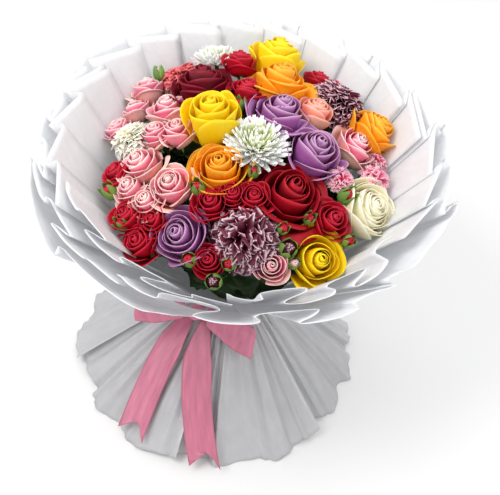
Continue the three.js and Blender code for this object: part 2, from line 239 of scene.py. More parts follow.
def one_side(points, tris):
    """The triangles of one broad face of a thin sheet: none joins a point to the one behind it."""
    behind = points_behind(points)
    wall = (behind[tris][:, :, None] == tris[:, None, :]).any(axis=(1, 2))
    broad = tris[~wall]
    near = neighbours(broad)
    kept = steps_from([broad[0][0]], near, set(near))
    return np.array([t for t in broad if t[0] in kept])


def border_loop(tris):
    """The boundary points of an open sheet, in order."""
    count = defaultdict(int)
    for t in tris.tolist():
        for a, b in ((t[0], t[1]), (t[1], t[2]), (t[2], t[0])):
            count[(min(a, b), max(a, b))] += 1
    beside = defaultdict(list)
    for (a, b), n in count.items():
        if n == 1:
            beside[a].append(b)
            beside[b].append(a)
    start = next(iter(beside))
    loop = [start, beside[start][0]]
    while True:
        a, b = loop[-2:]
        ahead = [w for w in beside[b] if w != a]
        if not ahead or ahead[0] == start:
            return loop
        loop.append(ahead[0])


def sheet_grid(node):
    """A bent sheet's points in rows from its low edge to its high edge."""
    points, tris = welded(node)
    face = one_side(points, tris)
    near = neighbours(face)
    loop = border_loop(face)
    corner_at = [i for i, v in enumerate(loop) if len(near[v]) < 4]
    sides = []
    for a, b in zip(corner_at, corner_at[1:] + [corner_at[0] + len(loop)]):
        sides.append([loop[i % len(loop)] for i in range(a, b + 1)])
    low = min(range(4), key=lambda k: points[sides[k]][:, 2].mean())
    row_of = steps_from(sides[low], near, set(near))
    column_of = steps_from(sides[(low + 1) % 4], near, set(near))
    rows = max(row_of.values()) + 1
    columns = max(column_of.values()) + 1
    grid = np.zeros((rows, columns, 3))
    for v in near:
        grid[row_of[v], column_of[v]] = points[v]
    return grid


# ---- Making meshes from grids of points ----
class Pieces:
    """Gathers closed shapes made of grids, with their colour attributes, into one mesh."""

    def __init__(self):
        self.points, self.quads, self.finish = [], [], []
        self.uvs, self.tint = [], []
        self.count = 0

    def add(self, points, quads, uvs, tint, finish=0):
        """tint holds three values for each point: along, ring and tone."""
        self.points.append(points)
        self.quads.append(quads + self.count)
        self.finish.append(np.full(len(quads), finish))
        self.uvs.append(uvs)
        self.tint.append(tint)
        self.count += len(points)

    def level(self):
        """Cuts everything level with the table."""
        for points in self.points:
            points[:, 2] = np.maximum(points[:, 2], 0)

    def make(self, name, materials, weld=False):
        points = np.concatenate(self.points)
        quads = np.concatenate(self.quads)
        mesh = bpy.data.meshes.new(name)
        mesh.vertices.add(len(points))
        mesh.vertices.foreach_set("co", points.ravel())
        mesh.loops.add(quads.size)
        mesh.loops.foreach_set("vertex_index", quads.ravel().astype(np.int32))
        mesh.polygons.add(len(quads))
        mesh.polygons.foreach_set("loop_start", np.arange(0, quads.size, 4, dtype=np.int32))
        for look in materials:
            mesh.materials.append(look)
        mesh.polygons.foreach_set("material_index", np.concatenate(self.finish).astype(np.int32))
        mesh.update(calc_edges=True)
        uv = mesh.uv_layers.new(name="flat")
        uv.uv.foreach_set("vector", np.concatenate(self.uvs)[quads.ravel()].ravel())
        tint = np.concatenate(self.tint)
        for k, label in enumerate(("along", "ring", "tone")):
            layer = mesh.attributes.new(label, "FLOAT", "POINT")
            layer.data.foreach_set("value", tint[:, k].astype(np.float32).copy())
        mesh.shade_smooth()
        if weld:
            close_poles(mesh)
        mesh.validate()
        piece = bpy.data.objects.new(name, mesh)
        bpy.context.scene.collection.objects.link(piece)
        return piece


def close_poles(mesh):
    work = bmesh.new()
    work.from_mesh(mesh)
    bmesh.ops.remove_doubles(work, verts=work.verts, dist=1e-7)
    work.to_mesh(mesh)
    work.free()


def grid_quads(rows, columns, wrap=False):
    """The quads of a grid of points, row by row; wrap joins the last column to the first."""
    index = np.arange(rows * columns).reshape(rows, columns)
    if wrap:
        index = np.concatenate([index, index[:, :1]], axis=1)
    corners = [index[:-1, :-1], index[:-1, 1:], index[1:, 1:], index[1:, :-1]]
    return np.stack(corners, axis=-1).reshape(-1, 4)


def grid_normals(grid):
    across = np.gradient(grid, axis=1)
    along = np.gradient(grid, axis=0)
    normal = np.cross(across, along)
    return normal / np.maximum(np.linalg.norm(normal, axis=2, keepdims=True), 1e-12)


def slab(grid, thickness):
    """A sheet with two faces and closed edges about a grid of points."""
    rows, columns = grid.shape[:2]
    normal = grid_normals(grid) * thickness / 2
    points = np.concatenate([(grid + normal).reshape(-1, 3), (grid - normal).reshape(-1, 3)])
    top = grid_quads(rows, columns)
    n = rows * columns
    index = np.arange(n).reshape(rows, columns)
    ring = np.concatenate([index[0, :-1], index[:-1, -1], index[-1, :0:-1], index[:0:-1, 0]])
    ahead = np.roll(ring, -1)
    edge = np.stack([ring, ring + n, ahead + n, ahead], axis=-1)
    return points, np.concatenate([top, top[:, ::-1] + n, edge])


def unit_uv(rows, columns):
    v, u = np.meshgrid(np.linspace(0, 1, rows), np.linspace(0, 1, columns), indexing="ij")
    return np.stack([u, v], axis=-1).reshape(-1, 2)


def tint_rows(along, ring, tone):
    """The colour attributes of a run of points: along differs from point to point."""
    return np.column_stack([along, np.full(len(along), ring), np.full(len(along), tone)])


def add_slab(pieces, grid, thickness, ring, tone, finish=0):
    points, quads = slab(grid, thickness)
    uvs = unit_uv(*grid.shape[:2])
    tint = tint_rows(uvs[:, 1], ring, tone)
    pieces.add(points, quads, np.concatenate([uvs, uvs]), np.concatenate([tint, tint]), finish)


# The direction from which the sides of a tube are set out.
TUBE_SIDE = np.array([0.31, 0.95, 0.05])


def add_tube(pieces, path, radii, sides, tone, finish=0):
    """A closed tube along a path, its ends drawn in to a point."""
    path = np.asarray(path, float)
    ahead = np.gradient(path, axis=0)
    ahead /= np.linalg.norm(ahead, axis=1, keepdims=True)
    side = np.cross(ahead, TUBE_SIDE)
    side /= np.linalg.norm(side, axis=1, keepdims=True)
    other = np.cross(ahead, side)
    turn = np.linspace(0, 2 * pi, sides, endpoint=False)
    radii = np.broadcast_to(radii, len(path))
    circle = side[:, None] * np.cos(turn)[None, :, None] + other[:, None] * np.sin(turn)[None, :, None]
    body = path[:, None] + circle * radii[:, None, None]
    first = np.repeat(path[:1, None], sides, axis=1)
    last = np.repeat(path[-1:, None], sides, axis=1)
    grid = np.concatenate([first, body, last])
    rows = len(grid)
    uvs = unit_uv(rows, sides)
    tint = tint_rows(uvs[:, 1], 0.0, tone)
    pieces.add(grid.reshape(-1, 3), grid_quads(rows, sides, wrap=True), uvs, tint, finish)


def standing(axis):
    """A turn that stands +Z on the axis, as rows of a matrix."""
    axis = np.asarray(axis, float) / np.linalg.norm(axis)
    side = np.cross(np.array([0.0, 1.0, 0.0]), axis)
    side /= np.linalg.norm(side)
    return np.stack([side, np.cross(axis, side), axis])


def spline_weights(n, places):
    """Weights that blend n points in a row into a smooth curve at each place."""
    weights = np.zeros((len(places), n))
    for k, t in enumerate(places):
        i = int(min(max(np.floor(t), 0), n - 2))
        f = t - i
        blend = (
            -0.5 * f + f * f - 0.5 * f ** 3,
            1 - 2.5 * f * f + 1.5 * f ** 3,
            0.5 * f + 2 * f * f - 1.5 * f ** 3,
            -0.5 * f * f + 0.5 * f ** 3,
        )
        for j, w in zip((i - 1, i, i + 1, i + 2), blend):
            if j < 0:
                weights[k, 0] += 2 * w
                weights[k, 1] -= w
            elif j >= n:
                weights[k, n - 1] += 2 * w
                weights[k, n - 2] -= w
            else:
                weights[k, j] += w
    return weights


def straight_weights(n, places):
    weights = np.zeros((len(places), n))
    for k, t in enumerate(places):
        i = int(min(max(np.floor(t), 0), n - 2))
        weights[k, i] = 1 - (t - i)
        weights[k, i + 1] = t - i
    return weights


def finer(grid, per_row, per_column, folded=False):
    """The grid with more points, smooth both ways, or with straight faces between its folds."""
    rows, columns = grid.shape[:2]
    up = spline_weights(rows, np.linspace(0, rows - 1, (rows - 1) * per_row + 1))
    places = np.linspace(0, columns - 1, (columns - 1) * per_column + 1)
    across = (straight_weights if folded else spline_weights)(columns, places)
    return np.einsum("ar,bc,rcx->abx", up, across, grid)


# ---- Petals: grids about a +Z axis, for a head of radius 1 ----
def bezier(v, controls):
    a, b, c, d = controls
    w = 1 - v
    return a * w ** 3 + 3 * b * v * w ** 2 + 3 * c * v ** 2 * w + d * v ** 3


def smooth(x):
    x = np.clip(x, 0, 1)
    return x * x * (3 - 2 * x)


def across_and_up(columns, rows):
    """A petal's own coordinates: u from -1 to 1 across it and v from 0 to 1 up it."""
    return np.meshgrid(np.linspace(-1, 1, columns), np.linspace(0, 1, rows), indexing="xy")


def round_points(r, angle, z):
    return np.stack([r * np.cos(angle), r * np.sin(angle), z], axis=-1)


PETAL_THICKNESS = 0.0004
SEPAL_THICKNESS = 0.0005
# A rose's count of petals, how fast they open, the heights of its heart and of its outermost petals,
# how far their rims roll back and how far the heart's petals wrap round.
RoseForm = namedtuple("RoseForm", "petals spread height shoulder curl tight", defaults=(2.0,))
ROSE_CLAW = -0.9


def rose_petal(form, q, turn, cells, draw):
    """q is 0 at the heart and 1 at the outermost petal."""
    u, v = across_and_up(cells + 1, cells)
    # Outer petals come to a soft point a little off their middle.
    slant = draw.uniform(-0.3, 0.3)
    pointed = np.exp(-((u - slant) / 0.3) ** 2)
    reach = v * (1 - 0.15 * np.abs(u) ** 3 + 0.06 * q * pointed)
    # The profile from claw to rim opens from heart to outside, and the rims of the outer petals roll back.
    rim = 0.05 + 0.95 * q ** form.spread * draw.uniform(0.94, 1.05)
    base = ROSE_CLAW
    top = form.height + (form.shoulder - form.height) * q ** 1.6
    top += 0.08 * draw.uniform(-1, 1) * (0.3 + q)
    belly = 0.26 + 0.56 * q
    r = bezier(reach, (0.06 + 0.06 * q, belly, 0.16 + 0.84 * q, rim))
    z = bezier(reach, (base, base + 0.05, base + (0.82 - 0.1 * q) * (top - base), top))
    back = smooth((reach - 0.70) / 0.3) * form.curl * q ** 0.7 * draw.uniform(0.8, 1.5)
    r = r + 0.5 * back
    z = z - 0.85 * back
    # The sides of a petal fall away, and its rim waves.
    edge = np.abs(u) ** 3 * v * q
    z = z - 0.26 * edge
    r = r - 0.04 * edge
    wave = draw.uniform(0, 2 * pi)
    z = z + (0.014 + 0.05 * q) * np.sin(3.1 * u + wave) * v ** 3
    r = r + (0.010 + 0.035 * q) * np.sin(4.3 * u - wave) * v ** 2 + 0.04 * u * (0.3 + q) * v
    half = (form.tight * (1 - q) ** 2 + 0.88 + 0.35 * (1 - q)) * (0.42 + 0.58 * smooth(v / 0.55))
    return round_points(r, turn + u * half, z)


def place_on(grid, centre, turn, size):
    return grid @ turn * size + centre


# Open petals reach past the radius of the plain head, into its neighbours' gaps.
ROSE_FULLNESS = 1.26
SPRAY_FULLNESS = 1.42
CARNATION_FULLNESS = 1.12
# How far the middle of a head lies below its crown's tip, in plain head radii, and how far its base lies
# below its middle, in bloom radii.
CROWN_RISE = {"rose": 0.66, "carnation": 0.58, "chrysanthemum": 0.66, "bud": 1.4}
HEAD_BASE = {"rose": 1.15, "carnation": 0.45, "chrysanthemum": 0.30, "bud": 1.10}


def head_kind(node, crown):
    if crown.sides == BUD_SIDES:
        return "bud"
    for kind in ("carnation", "chrysanthemum"):
        if kind in node:
            return kind
    return "rose"


def middle_of(crown, kind):
    return crown.tip - crown.axis * CROWN_RISE[kind] * HEAD_FILL * crown.radius


def add_rose(pieces, form, crown, cells, draw, finish):
    centre = middle_of(crown, "rose")
    turn = standing(crown.axis)
    spin = draw.uniform(0, 2 * pi)
    size = crown.radius * (ROSE_FULLNESS if crown.sides == STANDARD_SIDES else SPRAY_FULLNESS)
    for i in range(form.petals):
        q = i / (form.petals - 1)
        angle = spin + i * GOLDEN_ANGLE + 0.22 * draw.uniform(-1, 1)
        petal = rose_petal(form, q, angle, cells, draw)
        add_slab(pieces, place_on(petal, centre, turn, size), PETAL_THICKNESS, q, draw.random(), finish)


def carnation_petal(q, turn, draw):
    """A narrow claw that opens into a ruffled, toothed fan, turned about its claw near the heart."""
    u, v = across_and_up(columns=17, rows=7)
    v = v ** 0.8
    tilt = radians(3 + 84 * q ** 0.55 + 9 * draw.uniform(-1, 1))
    length = 0.93 - 0.05 * (1 - q) + 0.07 * draw.uniform(-1, 1)
    teeth = 0.07 * np.abs(((u * 6 + draw.uniform(0, 1)) % 1) - 0.5) * 2 * (v > 0.95)
    reach = v * (1 - 0.20 * np.abs(u) ** 2.4) + teeth
    width = 0.06 + (0.24 + 0.10 * q) * smooth(v / 0.9)
    start = draw.uniform(0, 2 * pi)
    waves = np.sin(6 * u + start) + 0.6 * np.sin(13 * u + 2 * start)
    ruffle = (0.13 - 0.03 * q) * v ** 1.6 * waves
    bend = 0.35 * reach ** 2
    twist = draw.uniform(-1, 1) * (1.5 - 1.1 * q)
    side = u * width * cos(twist) + ruffle * sin(twist)
    lean = ruffle * cos(twist) - u * width * sin(twist)
    out = np.sin(tilt + bend) * reach * length + lean * np.cos(tilt)
    up = np.cos(tilt + bend) * reach * length - lean * np.sin(tilt) * 0.9
    x = out * cos(turn) - side * sin(turn)
    y = out * sin(turn) + side * cos(turn)
    return np.stack([x, y, up * 0.95 - 0.42], axis=-1)


def add_carnation(pieces, crown, petals, draw, finish):
    centre = middle_of(crown, "carnation")
    turn = standing(crown.axis)
    size = CARNATION_FULLNESS * crown.radius
    for i in range(petals):
        q = i / (petals - 1)
        petal = carnation_petal(q, i * GOLDEN_ANGLE, draw)
        add_slab(pieces, place_on(petal, centre, turn, size), PETAL_THICKNESS, q, draw.random(), finish)


BUD_PETALS = 7
SEPALS = 5


def add_bud(pieces, crown, draw, petal_finish, green_finish):
    """A closed bud: wrapped petals with the calyx split about them."""
    radius = crown.radius
    centre = middle_of(crown, "bud")
    turn = standing(crown.axis)
    spin = draw.uniform(0, 2 * pi)
    for i in range(BUD_PETALS):
        q = i / (BUD_PETALS - 1)
        u, v = across_and_up(columns=9, rows=8)
        reach = v * (1 - 0.12 * np.abs(u) ** 3)
        r = bezier(reach, (0.2, 0.75 + 0.2 * q, 0.55 + 0.30 * q, 0.05 + 0.22 * q)) * (1 + 0.05 * u)
        z = bezier(reach, (-0.8, -0.5, 0.55, 0.95 - 0.2 * q))
        angle = spin + i * GOLDEN_ANGLE + u * (1.9 - 0.9 * q) * (0.5 + 0.5 * smooth(v / 0.4))
        petal = place_on(round_points(r, angle, z), centre, turn, radius)
        add_slab(pieces, petal, PETAL_THICKNESS, q, draw.random(), petal_finish)
    for i in range(SEPALS):
        sepal = place_on(sepal_strip(spin + i * 2 * pi / SEPALS, draw), centre, turn, radius)
        add_slab(pieces, sepal, SEPAL_THICKNESS, 1, draw.random(), green_finish)
    add_cup(pieces, centre, turn, radius, green_finish)


def sepal_strip(turn, draw):
    """A long pointed sepal that follows the bud and frees its tip."""
    u, v = across_and_up(columns=5, rows=10)
    flare = draw.uniform(0.0, 0.5)
    r = bezier(v, (0.3, 1.15, 0.882, 0.45 + flare)) * (1 - 0.06 * u * u)
    z = bezier(v, (-0.95, -0.75, 0.5, 1.25 + 0.15 * draw.uniform(-1, 1)))
    width = 0.72 * (1 - v ** 2.2) + 0.02
    return round_points(r, turn + u * width / np.maximum(r, 0.4), z)


CUP_SIDES = 12
CUP_LOW = -1.25
LONG_CUP_LOW = -1.5


def add_cup(pieces, centre, turn, radius, finish, low=CUP_LOW):
    """The green cup under a bud or a head, turned from its outline."""
    outline = np.array([(0, low), (0.3, low), (0.42, low + 0.18), (0.5, -0.8), (0.42, -0.6), (0, -0.55)])
    angle = np.linspace(0, 2 * pi, CUP_SIDES, endpoint=False)
    grid = round_points(outline[:, :1], angle, np.repeat(outline[:, 1:], CUP_SIDES, axis=1))
    uvs = unit_uv(len(outline), CUP_SIDES)
    points = place_on(grid, centre, turn, radius).reshape(-1, 3)
    quads = grid_quads(len(outline), CUP_SIDES, wrap=True)
    pieces.add(points, quads, uvs, tint_rows(uvs[:, 1], 0.0, 0.5), finish)


LARGEST_CALYX = 0.012


def add_calyx(pieces, crown, base, draw, finish):
    """The receptacle and the five turned-back sepals under an open rose."""
    turn = standing(crown.axis)
    size = min(crown.radius * 0.5, LARGEST_CALYX)
    centre = crown.tip - crown.axis * (base * crown.radius - 0.7 * size)
    add_cup(pieces, centre, turn, size, finish)
    u, v = across_and_up(columns=5, rows=8)
    r = 0.4 + 1.6 * v
    z = -0.75 - 0.5 * v ** 2 + 0.25 * np.sin(pi * v)
    for i in range(SEPALS):
        angle = i * 2 * pi / SEPALS + u * 0.5 * (1 - v ** 1.6) / np.maximum(r, 0.5)
        sepal = place_on(round_points(r, angle, z), centre, turn, size)
        add_slab(pieces, sepal, SEPAL_THICKNESS, 1, draw.random(), finish)


LEAF_OUTLINE = 0.36
LEAF_THICKNESS = 0.0004


def add_leaf(pieces, root, direction, up, length, draw, finish):
    """A serrated leaf, folded a little along its midrib and arched towards its tip."""
    rows, columns = 13, 9
    u, v = across_and_up(columns, rows)
    width = LEAF_OUTLINE * np.sin(pi * np.clip(v, 0, 1) ** 0.8) ** 0.8 + 0.012
    teeth = 0.05 * (np.arange(rows) % 2)[:, None] * (np.abs(u) > 0.9) * (v > 0.1)
    side = u * (width + teeth)
    lift = 0.28 * np.abs(side) - 0.35 * v ** 2 + 0.015 * np.sin(18 * v + 3 * np.abs(u))
    direction = direction / np.linalg.norm(direction)
    across = np.cross(direction, up)
    across /= np.linalg.norm(across)
    face = np.cross(across, direction)
    grid = root + length * (
        v[..., None] * direction + side[..., None] * across + lift[..., None] * face
    )
    add_slab(pieces, grid, LEAF_THICKNESS, 0.5, draw.random(), finish)


# ---- Shader groups and finishes ----
def linear(red, green, blue):
    """A colour given as 0 to 255 values, in linear light."""
    def one(c):
        c = c / 255
        return c / 12.92 if c <= 0.04045 else ((c + 0.055) / 1.055) ** 2.4
    return (one(red), one(green), one(blue), 1.0)


class Graph:
    """Adds nodes to a shader or geometry tree and links them."""

    def __init__(self, tree):
        self.tree = tree

    def node(self, kind, settings=None, **inputs):
        node = self.tree.nodes.new(kind)
        for key, value in (settings or {}).items():
            setattr(node, key, value)
        for key, value in inputs.items():
            numbered = key.startswith("in") and key[2:].isdigit()
            socket = node.inputs[int(key[2:]) if numbered else key.replace("_", " ")]
            self.feed(socket, value)
        return node

    def feed(self, socket, value):
        if isinstance(value, bpy.types.NodeSocket):
            self.tree.links.new(value, socket)
        else:
            socket.default_value = value

    def math(self, operation, a, b=0.0, clamp=False):
        settings = {"operation": operation, "use_clamp": clamp}
        return self.node("ShaderNodeMath", settings, in0=a, in1=b).outputs[0]

    def mix(self, factor, a, b, blend="MIX"):
        node = self.node("ShaderNodeMix", {"data_type": "RGBA", "blend_type": blend})
        self.feed(node.inputs[0], factor)
        self.feed(node.inputs[6], a)
        self.feed(node.inputs[7], b)
        return node.outputs[2]

    def ramp(self, value, low, high):
        """0 below low, 1 above high, eased between."""
        node = self.node("ShaderNodeMapRange", {"interpolation_type": "SMOOTHSTEP"}, Value=value)
        self.feed(node.inputs["From Min"], low)
        self.feed(node.inputs["From Max"], high)
        return node.outputs[0]

    def attribute(self, name):
        return self.node("ShaderNodeAttribute", {"attribute_name": name}).outputs["Fac"]

    def flat_uv(self):
        return self.node("ShaderNodeUVMap", {"uv_map": "flat"}).outputs[0]

    def scaled(self, colour, factor):
        scale = self.node("ShaderNodeVectorMath", {"operation": "SCALE"}, in0=colour, Scale=factor)
        return scale.outputs[0]

    def stretched_noise(self, scale, detail=3.0):
        mapping = self.node("ShaderNodeMapping", None, Vector=self.flat_uv())
        mapping.inputs["Scale"].default_value = scale
        noise = self.node("ShaderNodeTexNoise", None, Vector=mapping.outputs[0], Scale=1.0, Detail=detail)
        return noise.outputs[0]


def shader_group(name, inputs, outputs):
    tree = bpy.data.node_groups.new(name, "ShaderNodeTree")
    for label, kind in inputs:
        tree.interface.new_socket(label, in_out="INPUT", socket_type=kind)
    for label, kind in outputs:
        tree.interface.new_socket(label, in_out="OUTPUT", socket_type=kind)
    graph = Graph(tree)
    start = graph.node("NodeGroupInput")
    end = graph.node("NodeGroupOutput")
    return tree, graph, start, end


COLOUR, VALUE = "NodeSocketColor", "NodeSocketFloat"


def make_petal_group():
    """Petal colour from heart to outer petals and from base to rim, with fine veins."""
    tree, g, start, end = shader_group(
        "petal_colour",
        [("Heart", COLOUR), ("Body", COLOUR), ("Outer", COLOUR), ("Rim", COLOUR), ("Edge", COLOUR),
         ("Edge Start", VALUE), ("Flecks", VALUE), ("Base Shade", COLOUR)],
        [("Color", COLOUR), ("Height", VALUE)],
    )
    along = g.attribute("along")
    ring = g.attribute("ring")
    tone = g.attribute("tone")
    veins = g.stretched_noise((26.0, 2.2, 1.0))
    mottle = g.stretched_noise((5.0, 4.0, 1.0))
    colour = g.mix(g.ramp(ring, 0.1, 0.6), start.outputs["Heart"], start.outputs["Body"])
    colour = g.mix(g.ramp(ring, 0.6, 1.0), colour, start.outputs["Outer"])
    colour = g.mix(g.ramp(along, 0.7, 1.0), colour, start.outputs["Rim"])
    fleck = g.ramp(mottle, 0.46, 0.52)
    edge = g.ramp(along, start.outputs["Edge Start"], 1.0)
    plain = g.math("SUBTRACT", 1.0, start.outputs["Flecks"])
    edge = g.math("MULTIPLY", edge, g.math("MAXIMUM", fleck, plain))
    colour = g.mix(edge, colour, start.outputs["Edge"])
    colour = g.mix(g.ramp(along, 0.5, 0.0), colour, start.outputs["Base Shade"])
    lightness = g.math("ADD", 0.80, g.math("MULTIPLY", tone, 0.22))
    lightness = g.math("ADD", lightness, g.math("MULTIPLY", veins, 0.16))
    g.feed(end.inputs["Color"], g.scaled(colour, lightness))
    g.feed(end.inputs["Height"], veins)
    return tree


PETAL_GROUP = make_petal_group()


def new_material(name, **constants):
    look = bpy.data.materials.new(name)
    look.use_nodes = True
    graph = Graph(look.node_tree)
    shader = look.node_tree.nodes["Principled BSDF"]
    for key, value in constants.items():
        shader.inputs[key.replace("_", " ")].default_value = value
    return look, graph, shader


def use_group(graph, group, **inputs):
    node = graph.node("ShaderNodeGroup", {"node_tree": group})
    for key, value in inputs.items():
        node.inputs[key.replace("_", " ")].default_value = value
    return node


def add_bump(graph, shader, height, strength, distance):
    bump = graph.node("ShaderNodeBump", None, Height=height, Strength=strength, Distance=distance)
    graph.feed(shader.inputs["Normal"], bump.outputs[0])


def petal_material(
    name, heart, body, rim, base, outer=None, edge=None, edge_start=0.93, flecks=0.0, velvet=0.2,
):
    look, g, shader = new_material(
        name, Roughness=0.55, Sheen_Weight=velvet, Sheen_Roughness=0.4,
        Subsurface_Weight=0.12, Subsurface_Scale=0.004, Specular_IOR_Level=0.35,
    )
    shader.inputs["Sheen Tint"].default_value = linear(*rim)
    group = use_group(
        g, PETAL_GROUP, Heart=linear(*heart), Body=linear(*body), Outer=linear(*(outer or body)),
        Rim=linear(*rim), Edge=linear(*(edge or rim)), Edge_Start=edge_start, Flecks=flecks,
        Base_Shade=linear(*base),
    )
    g.feed(shader.inputs["Base Color"], group.outputs["Color"])
    add_bump(g, shader, group.outputs["Height"], strength=0.25, distance=0.0006)
    return look


# Each variety's colours: its heart, body, rim and petal bases, and the outer petals and edges that differ.
PETAL_COLOURS = {
    "burgundy": dict(heart=(52, 0, 12), body=(112, 2, 28), rim=(128, 6, 36), base=(34, 0, 8)),
    "red": dict(heart=(84, 0, 12), body=(158, 0, 24), rim=(176, 4, 32), base=(60, 0, 10)),
    "spray_red": dict(heart=(120, 0, 20), body=(178, 6, 34), rim=(198, 26, 56), base=(80, 0, 14)),
    "yellow": dict(heart=(240, 176, 0), body=(252, 212, 4), rim=(255, 226, 30), base=(214, 160, 0)),
    "orange": dict(heart=(250, 140, 6), body=(255, 160, 16), rim=(255, 184, 52), base=(240, 120, 4)),
    "lavender": dict(
        heart=(104, 40, 104), body=(160, 92, 158), rim=(184, 130, 180), base=(98, 46, 96),
        edge=(206, 164, 200)),
    "cream": dict(heart=(250, 230, 150), body=(253, 244, 204), rim=(255, 250, 226), base=(238, 220, 150)),
    "coral": dict(heart=(214, 60, 74), body=(232, 86, 96), rim=(244, 132, 136), base=(190, 50, 60)),
    "cream_frill": dict(
        heart=(230, 224, 186), body=(246, 243, 224), rim=(252, 250, 238), base=(220, 216, 170)),
    "speckled": dict(
        heart=(72, 0, 26), body=(78, 0, 30), rim=(92, 6, 40), base=(30, 0, 10),
        edge=(240, 204, 218), edge_start=0.91, flecks=0.95, velvet=0.0),
    "pink": dict(
        heart=(224, 56, 112), body=(238, 122, 158), rim=(248, 186, 198), base=(222, 120, 130),
        outer=(250, 208, 190), edge=(252, 226, 218)),
    "blush": dict(
        heart=(230, 72, 120), body=(242, 140, 164), rim=(248, 194, 198), base=(226, 150, 140),
        outer=(250, 206, 180), edge=(252, 232, 222)),
    "salmon": dict(
        heart=(240, 104, 84), body=(250, 152, 130), rim=(252, 186, 168), base=(232, 140, 100),
        outer=(252, 196, 168)),
    "pink_frill": dict(
        heart=(232, 96, 140), body=(240, 136, 166), rim=(248, 176, 196), base=(220, 110, 134),
        edge=(252, 212, 220)),
    "white": dict(heart=(226, 236, 176), body=(254, 254, 250), rim=(255, 255, 253), base=(240, 244, 220)),
}
PETALS = {variety: petal_material(f"petal_{variety}", **look) for variety, look in PETAL_COLOURS.items()}


def make_leaf_group():
    """Leaf and stem green with a paler midrib, side veins and faint mottling."""
    tree, g, start, end = shader_group(
        "leaf_green", [("Dark", COLOUR), ("Light", COLOUR), ("Veins", VALUE)],
        [("Color", COLOUR), ("Height", VALUE), ("Roughness", VALUE)],
    )
    split = g.node("ShaderNodeSeparateXYZ", None, Vector=g.flat_uv())
    off = g.math("ABSOLUTE", g.math("SUBTRACT", split.outputs[0], 0.5))
    rib = g.ramp(off, 0.035, 0.0)
    slant = g.math("SUBTRACT", g.math("MULTIPLY", split.outputs[1], 9.0), g.math("MULTIPLY", off, 6.0))
    side = g.ramp(g.math("ABSOLUTE", g.math("SUBTRACT", g.math("FRACT", slant), 0.5)), 0.09, 0.0)
    vein = g.math("MULTIPLY", g.math("MAXIMUM", rib, g.math("MULTIPLY", side, 0.45)), start.outputs["Veins"])
    mottle = g.stretched_noise((9.0, 7.0, 1.0), 4.0)
    tone = g.math("MULTIPLY", g.attribute("tone"), 0.4)
    shade = g.math("ADD", tone, g.math("MULTIPLY", mottle, 0.6), clamp=True)
    colour = g.mix(shade, start.outputs["Dark"], start.outputs["Light"])
    colour = g.mix(g.math("MULTIPLY", vein, 0.5), colour, start.outputs["Light"])
    g.feed(end.inputs["Color"], colour)
    g.feed(end.inputs["Height"], g.math("SUBTRACT", mottle, vein))
    g.feed(end.inputs["Roughness"], g.math("ADD", 0.42, g.math("MULTIPLY", mottle, 0.2)))
    return tree


LEAF_GROUP = make_leaf_group()


def green_material(name, dark, light, veins):
    look, g, shader = new_material(name, Subsurface_Weight=0.05, Subsurface_Scale=0.003)
    group = use_group(g, LEAF_GROUP, Dark=linear(*dark), Light=linear(*light), Veins=veins)
    g.feed(shader.inputs["Base Color"], group.outputs["Color"])
    g.feed(shader.inputs["Roughness"], group.outputs["Roughness"])
    add_bump(g, shader, group.outputs["Height"], strength=0.4, distance=0.0006)
    return look


LEAF = green_material("leaf", (18, 40, 16), (62, 98, 44), 1.0)
STEM = green_material("stem", (50, 84, 34), (104, 140, 70), 0.0)
SEPAL = green_material("sepal", (70, 118, 40), (138, 178, 84), 0.3)


def make_cloth_group():
    """Fine threads across a ribbon or fine grain in paper, with soft creases, and painted highlight and
    shade: the colour is lighter on the creases' ridges and darker in their hollows.
    """
    tree, g, start, end = shader_group(
        "soft_sheet",
        [("Colour", COLOUR), ("Border Colour", COLOUR),
         ("Thread", VALUE), ("Crease", VALUE), ("Streak", VALUE)],
        [("Color", COLOUR), ("Height", VALUE), ("Border", VALUE), ("Cloud", VALUE)],
    )
    split = g.node("ShaderNodeSeparateXYZ", None, Vector=g.flat_uv())
    thread = g.math("SINE", g.math("MULTIPLY", split.outputs[1], start.outputs["Thread"]))
    crease = g.stretched_noise((34.0, 6.0, 1.0), 2.0)
    cloud = g.stretched_noise((9.0, 9.0, 1.0), 3.0)
    border = g.attribute("along")
    colour = g.mix(border, start.outputs["Colour"], start.outputs["Border Colour"])
    lightness = g.math("ADD", 0.94, g.math("MULTIPLY", cloud, 0.10))
    # Painted highlight and shade: the colour follows the crease noise, lighter where it rises and darker
    # where it falls.
    crease_shading = g.math("MULTIPLY", g.math("SUBTRACT", crease, 0.5), start.outputs["Streak"])
    lightness = g.math("ADD", lightness, crease_shading)
    creased = g.math("MULTIPLY", crease, start.outputs["Crease"])
    height = g.math("ADD", creased, g.math("MULTIPLY", thread, 0.04))
    g.feed(end.inputs["Color"], g.scaled(colour, lightness))
    g.feed(end.inputs["Height"], height)
    g.feed(end.inputs["Border"], border)
    g.feed(end.inputs["Cloud"], cloud)
    return tree


CLOTH_GROUP = make_cloth_group()


def paper_material(name, body, border, clear, painted_glow):
    """clear is the least share of light that the sheet stops, and the last argument sets how much the sheet
    glows in its own colour: painted light, for the sheet is no lamp.
    """
    look, g, shader = new_material(
        name, Roughness=0.5, Sheen_Weight=0.04, Subsurface_Weight=0.12, Subsurface_Scale=0.004,
        Subsurface_Radius=(1.0, 1.0, 1.0), Emission_Strength=painted_glow,
    )
    # Faint painted shade and highlight follow the paper's creases, lighter on their ridges.
    group = use_group(
        g, CLOTH_GROUP, Colour=linear(*body), Border_Colour=linear(*border),
        Thread=0.0, Crease=0.6, Streak=0.12,
    )
    g.feed(shader.inputs["Base Color"], group.outputs["Color"])
    # Painted light: the sheet glows in its own colour, though it is no lamp.
    g.feed(shader.inputs["Emission Color"], group.outputs["Color"])
    solid = g.math("ADD", clear, g.math("MULTIPLY", group.outputs["Cloud"], 0.12))
    solid = g.math("ADD", solid, g.math("MULTIPLY", group.outputs["Border"], 0.05), clamp=True)
    g.feed(shader.inputs["Alpha"], solid)
    add_bump(g, shader, group.outputs["Height"], strength=0.35, distance=0.002)
    return look


SATIN_SHEEN = (236, 170, 200)


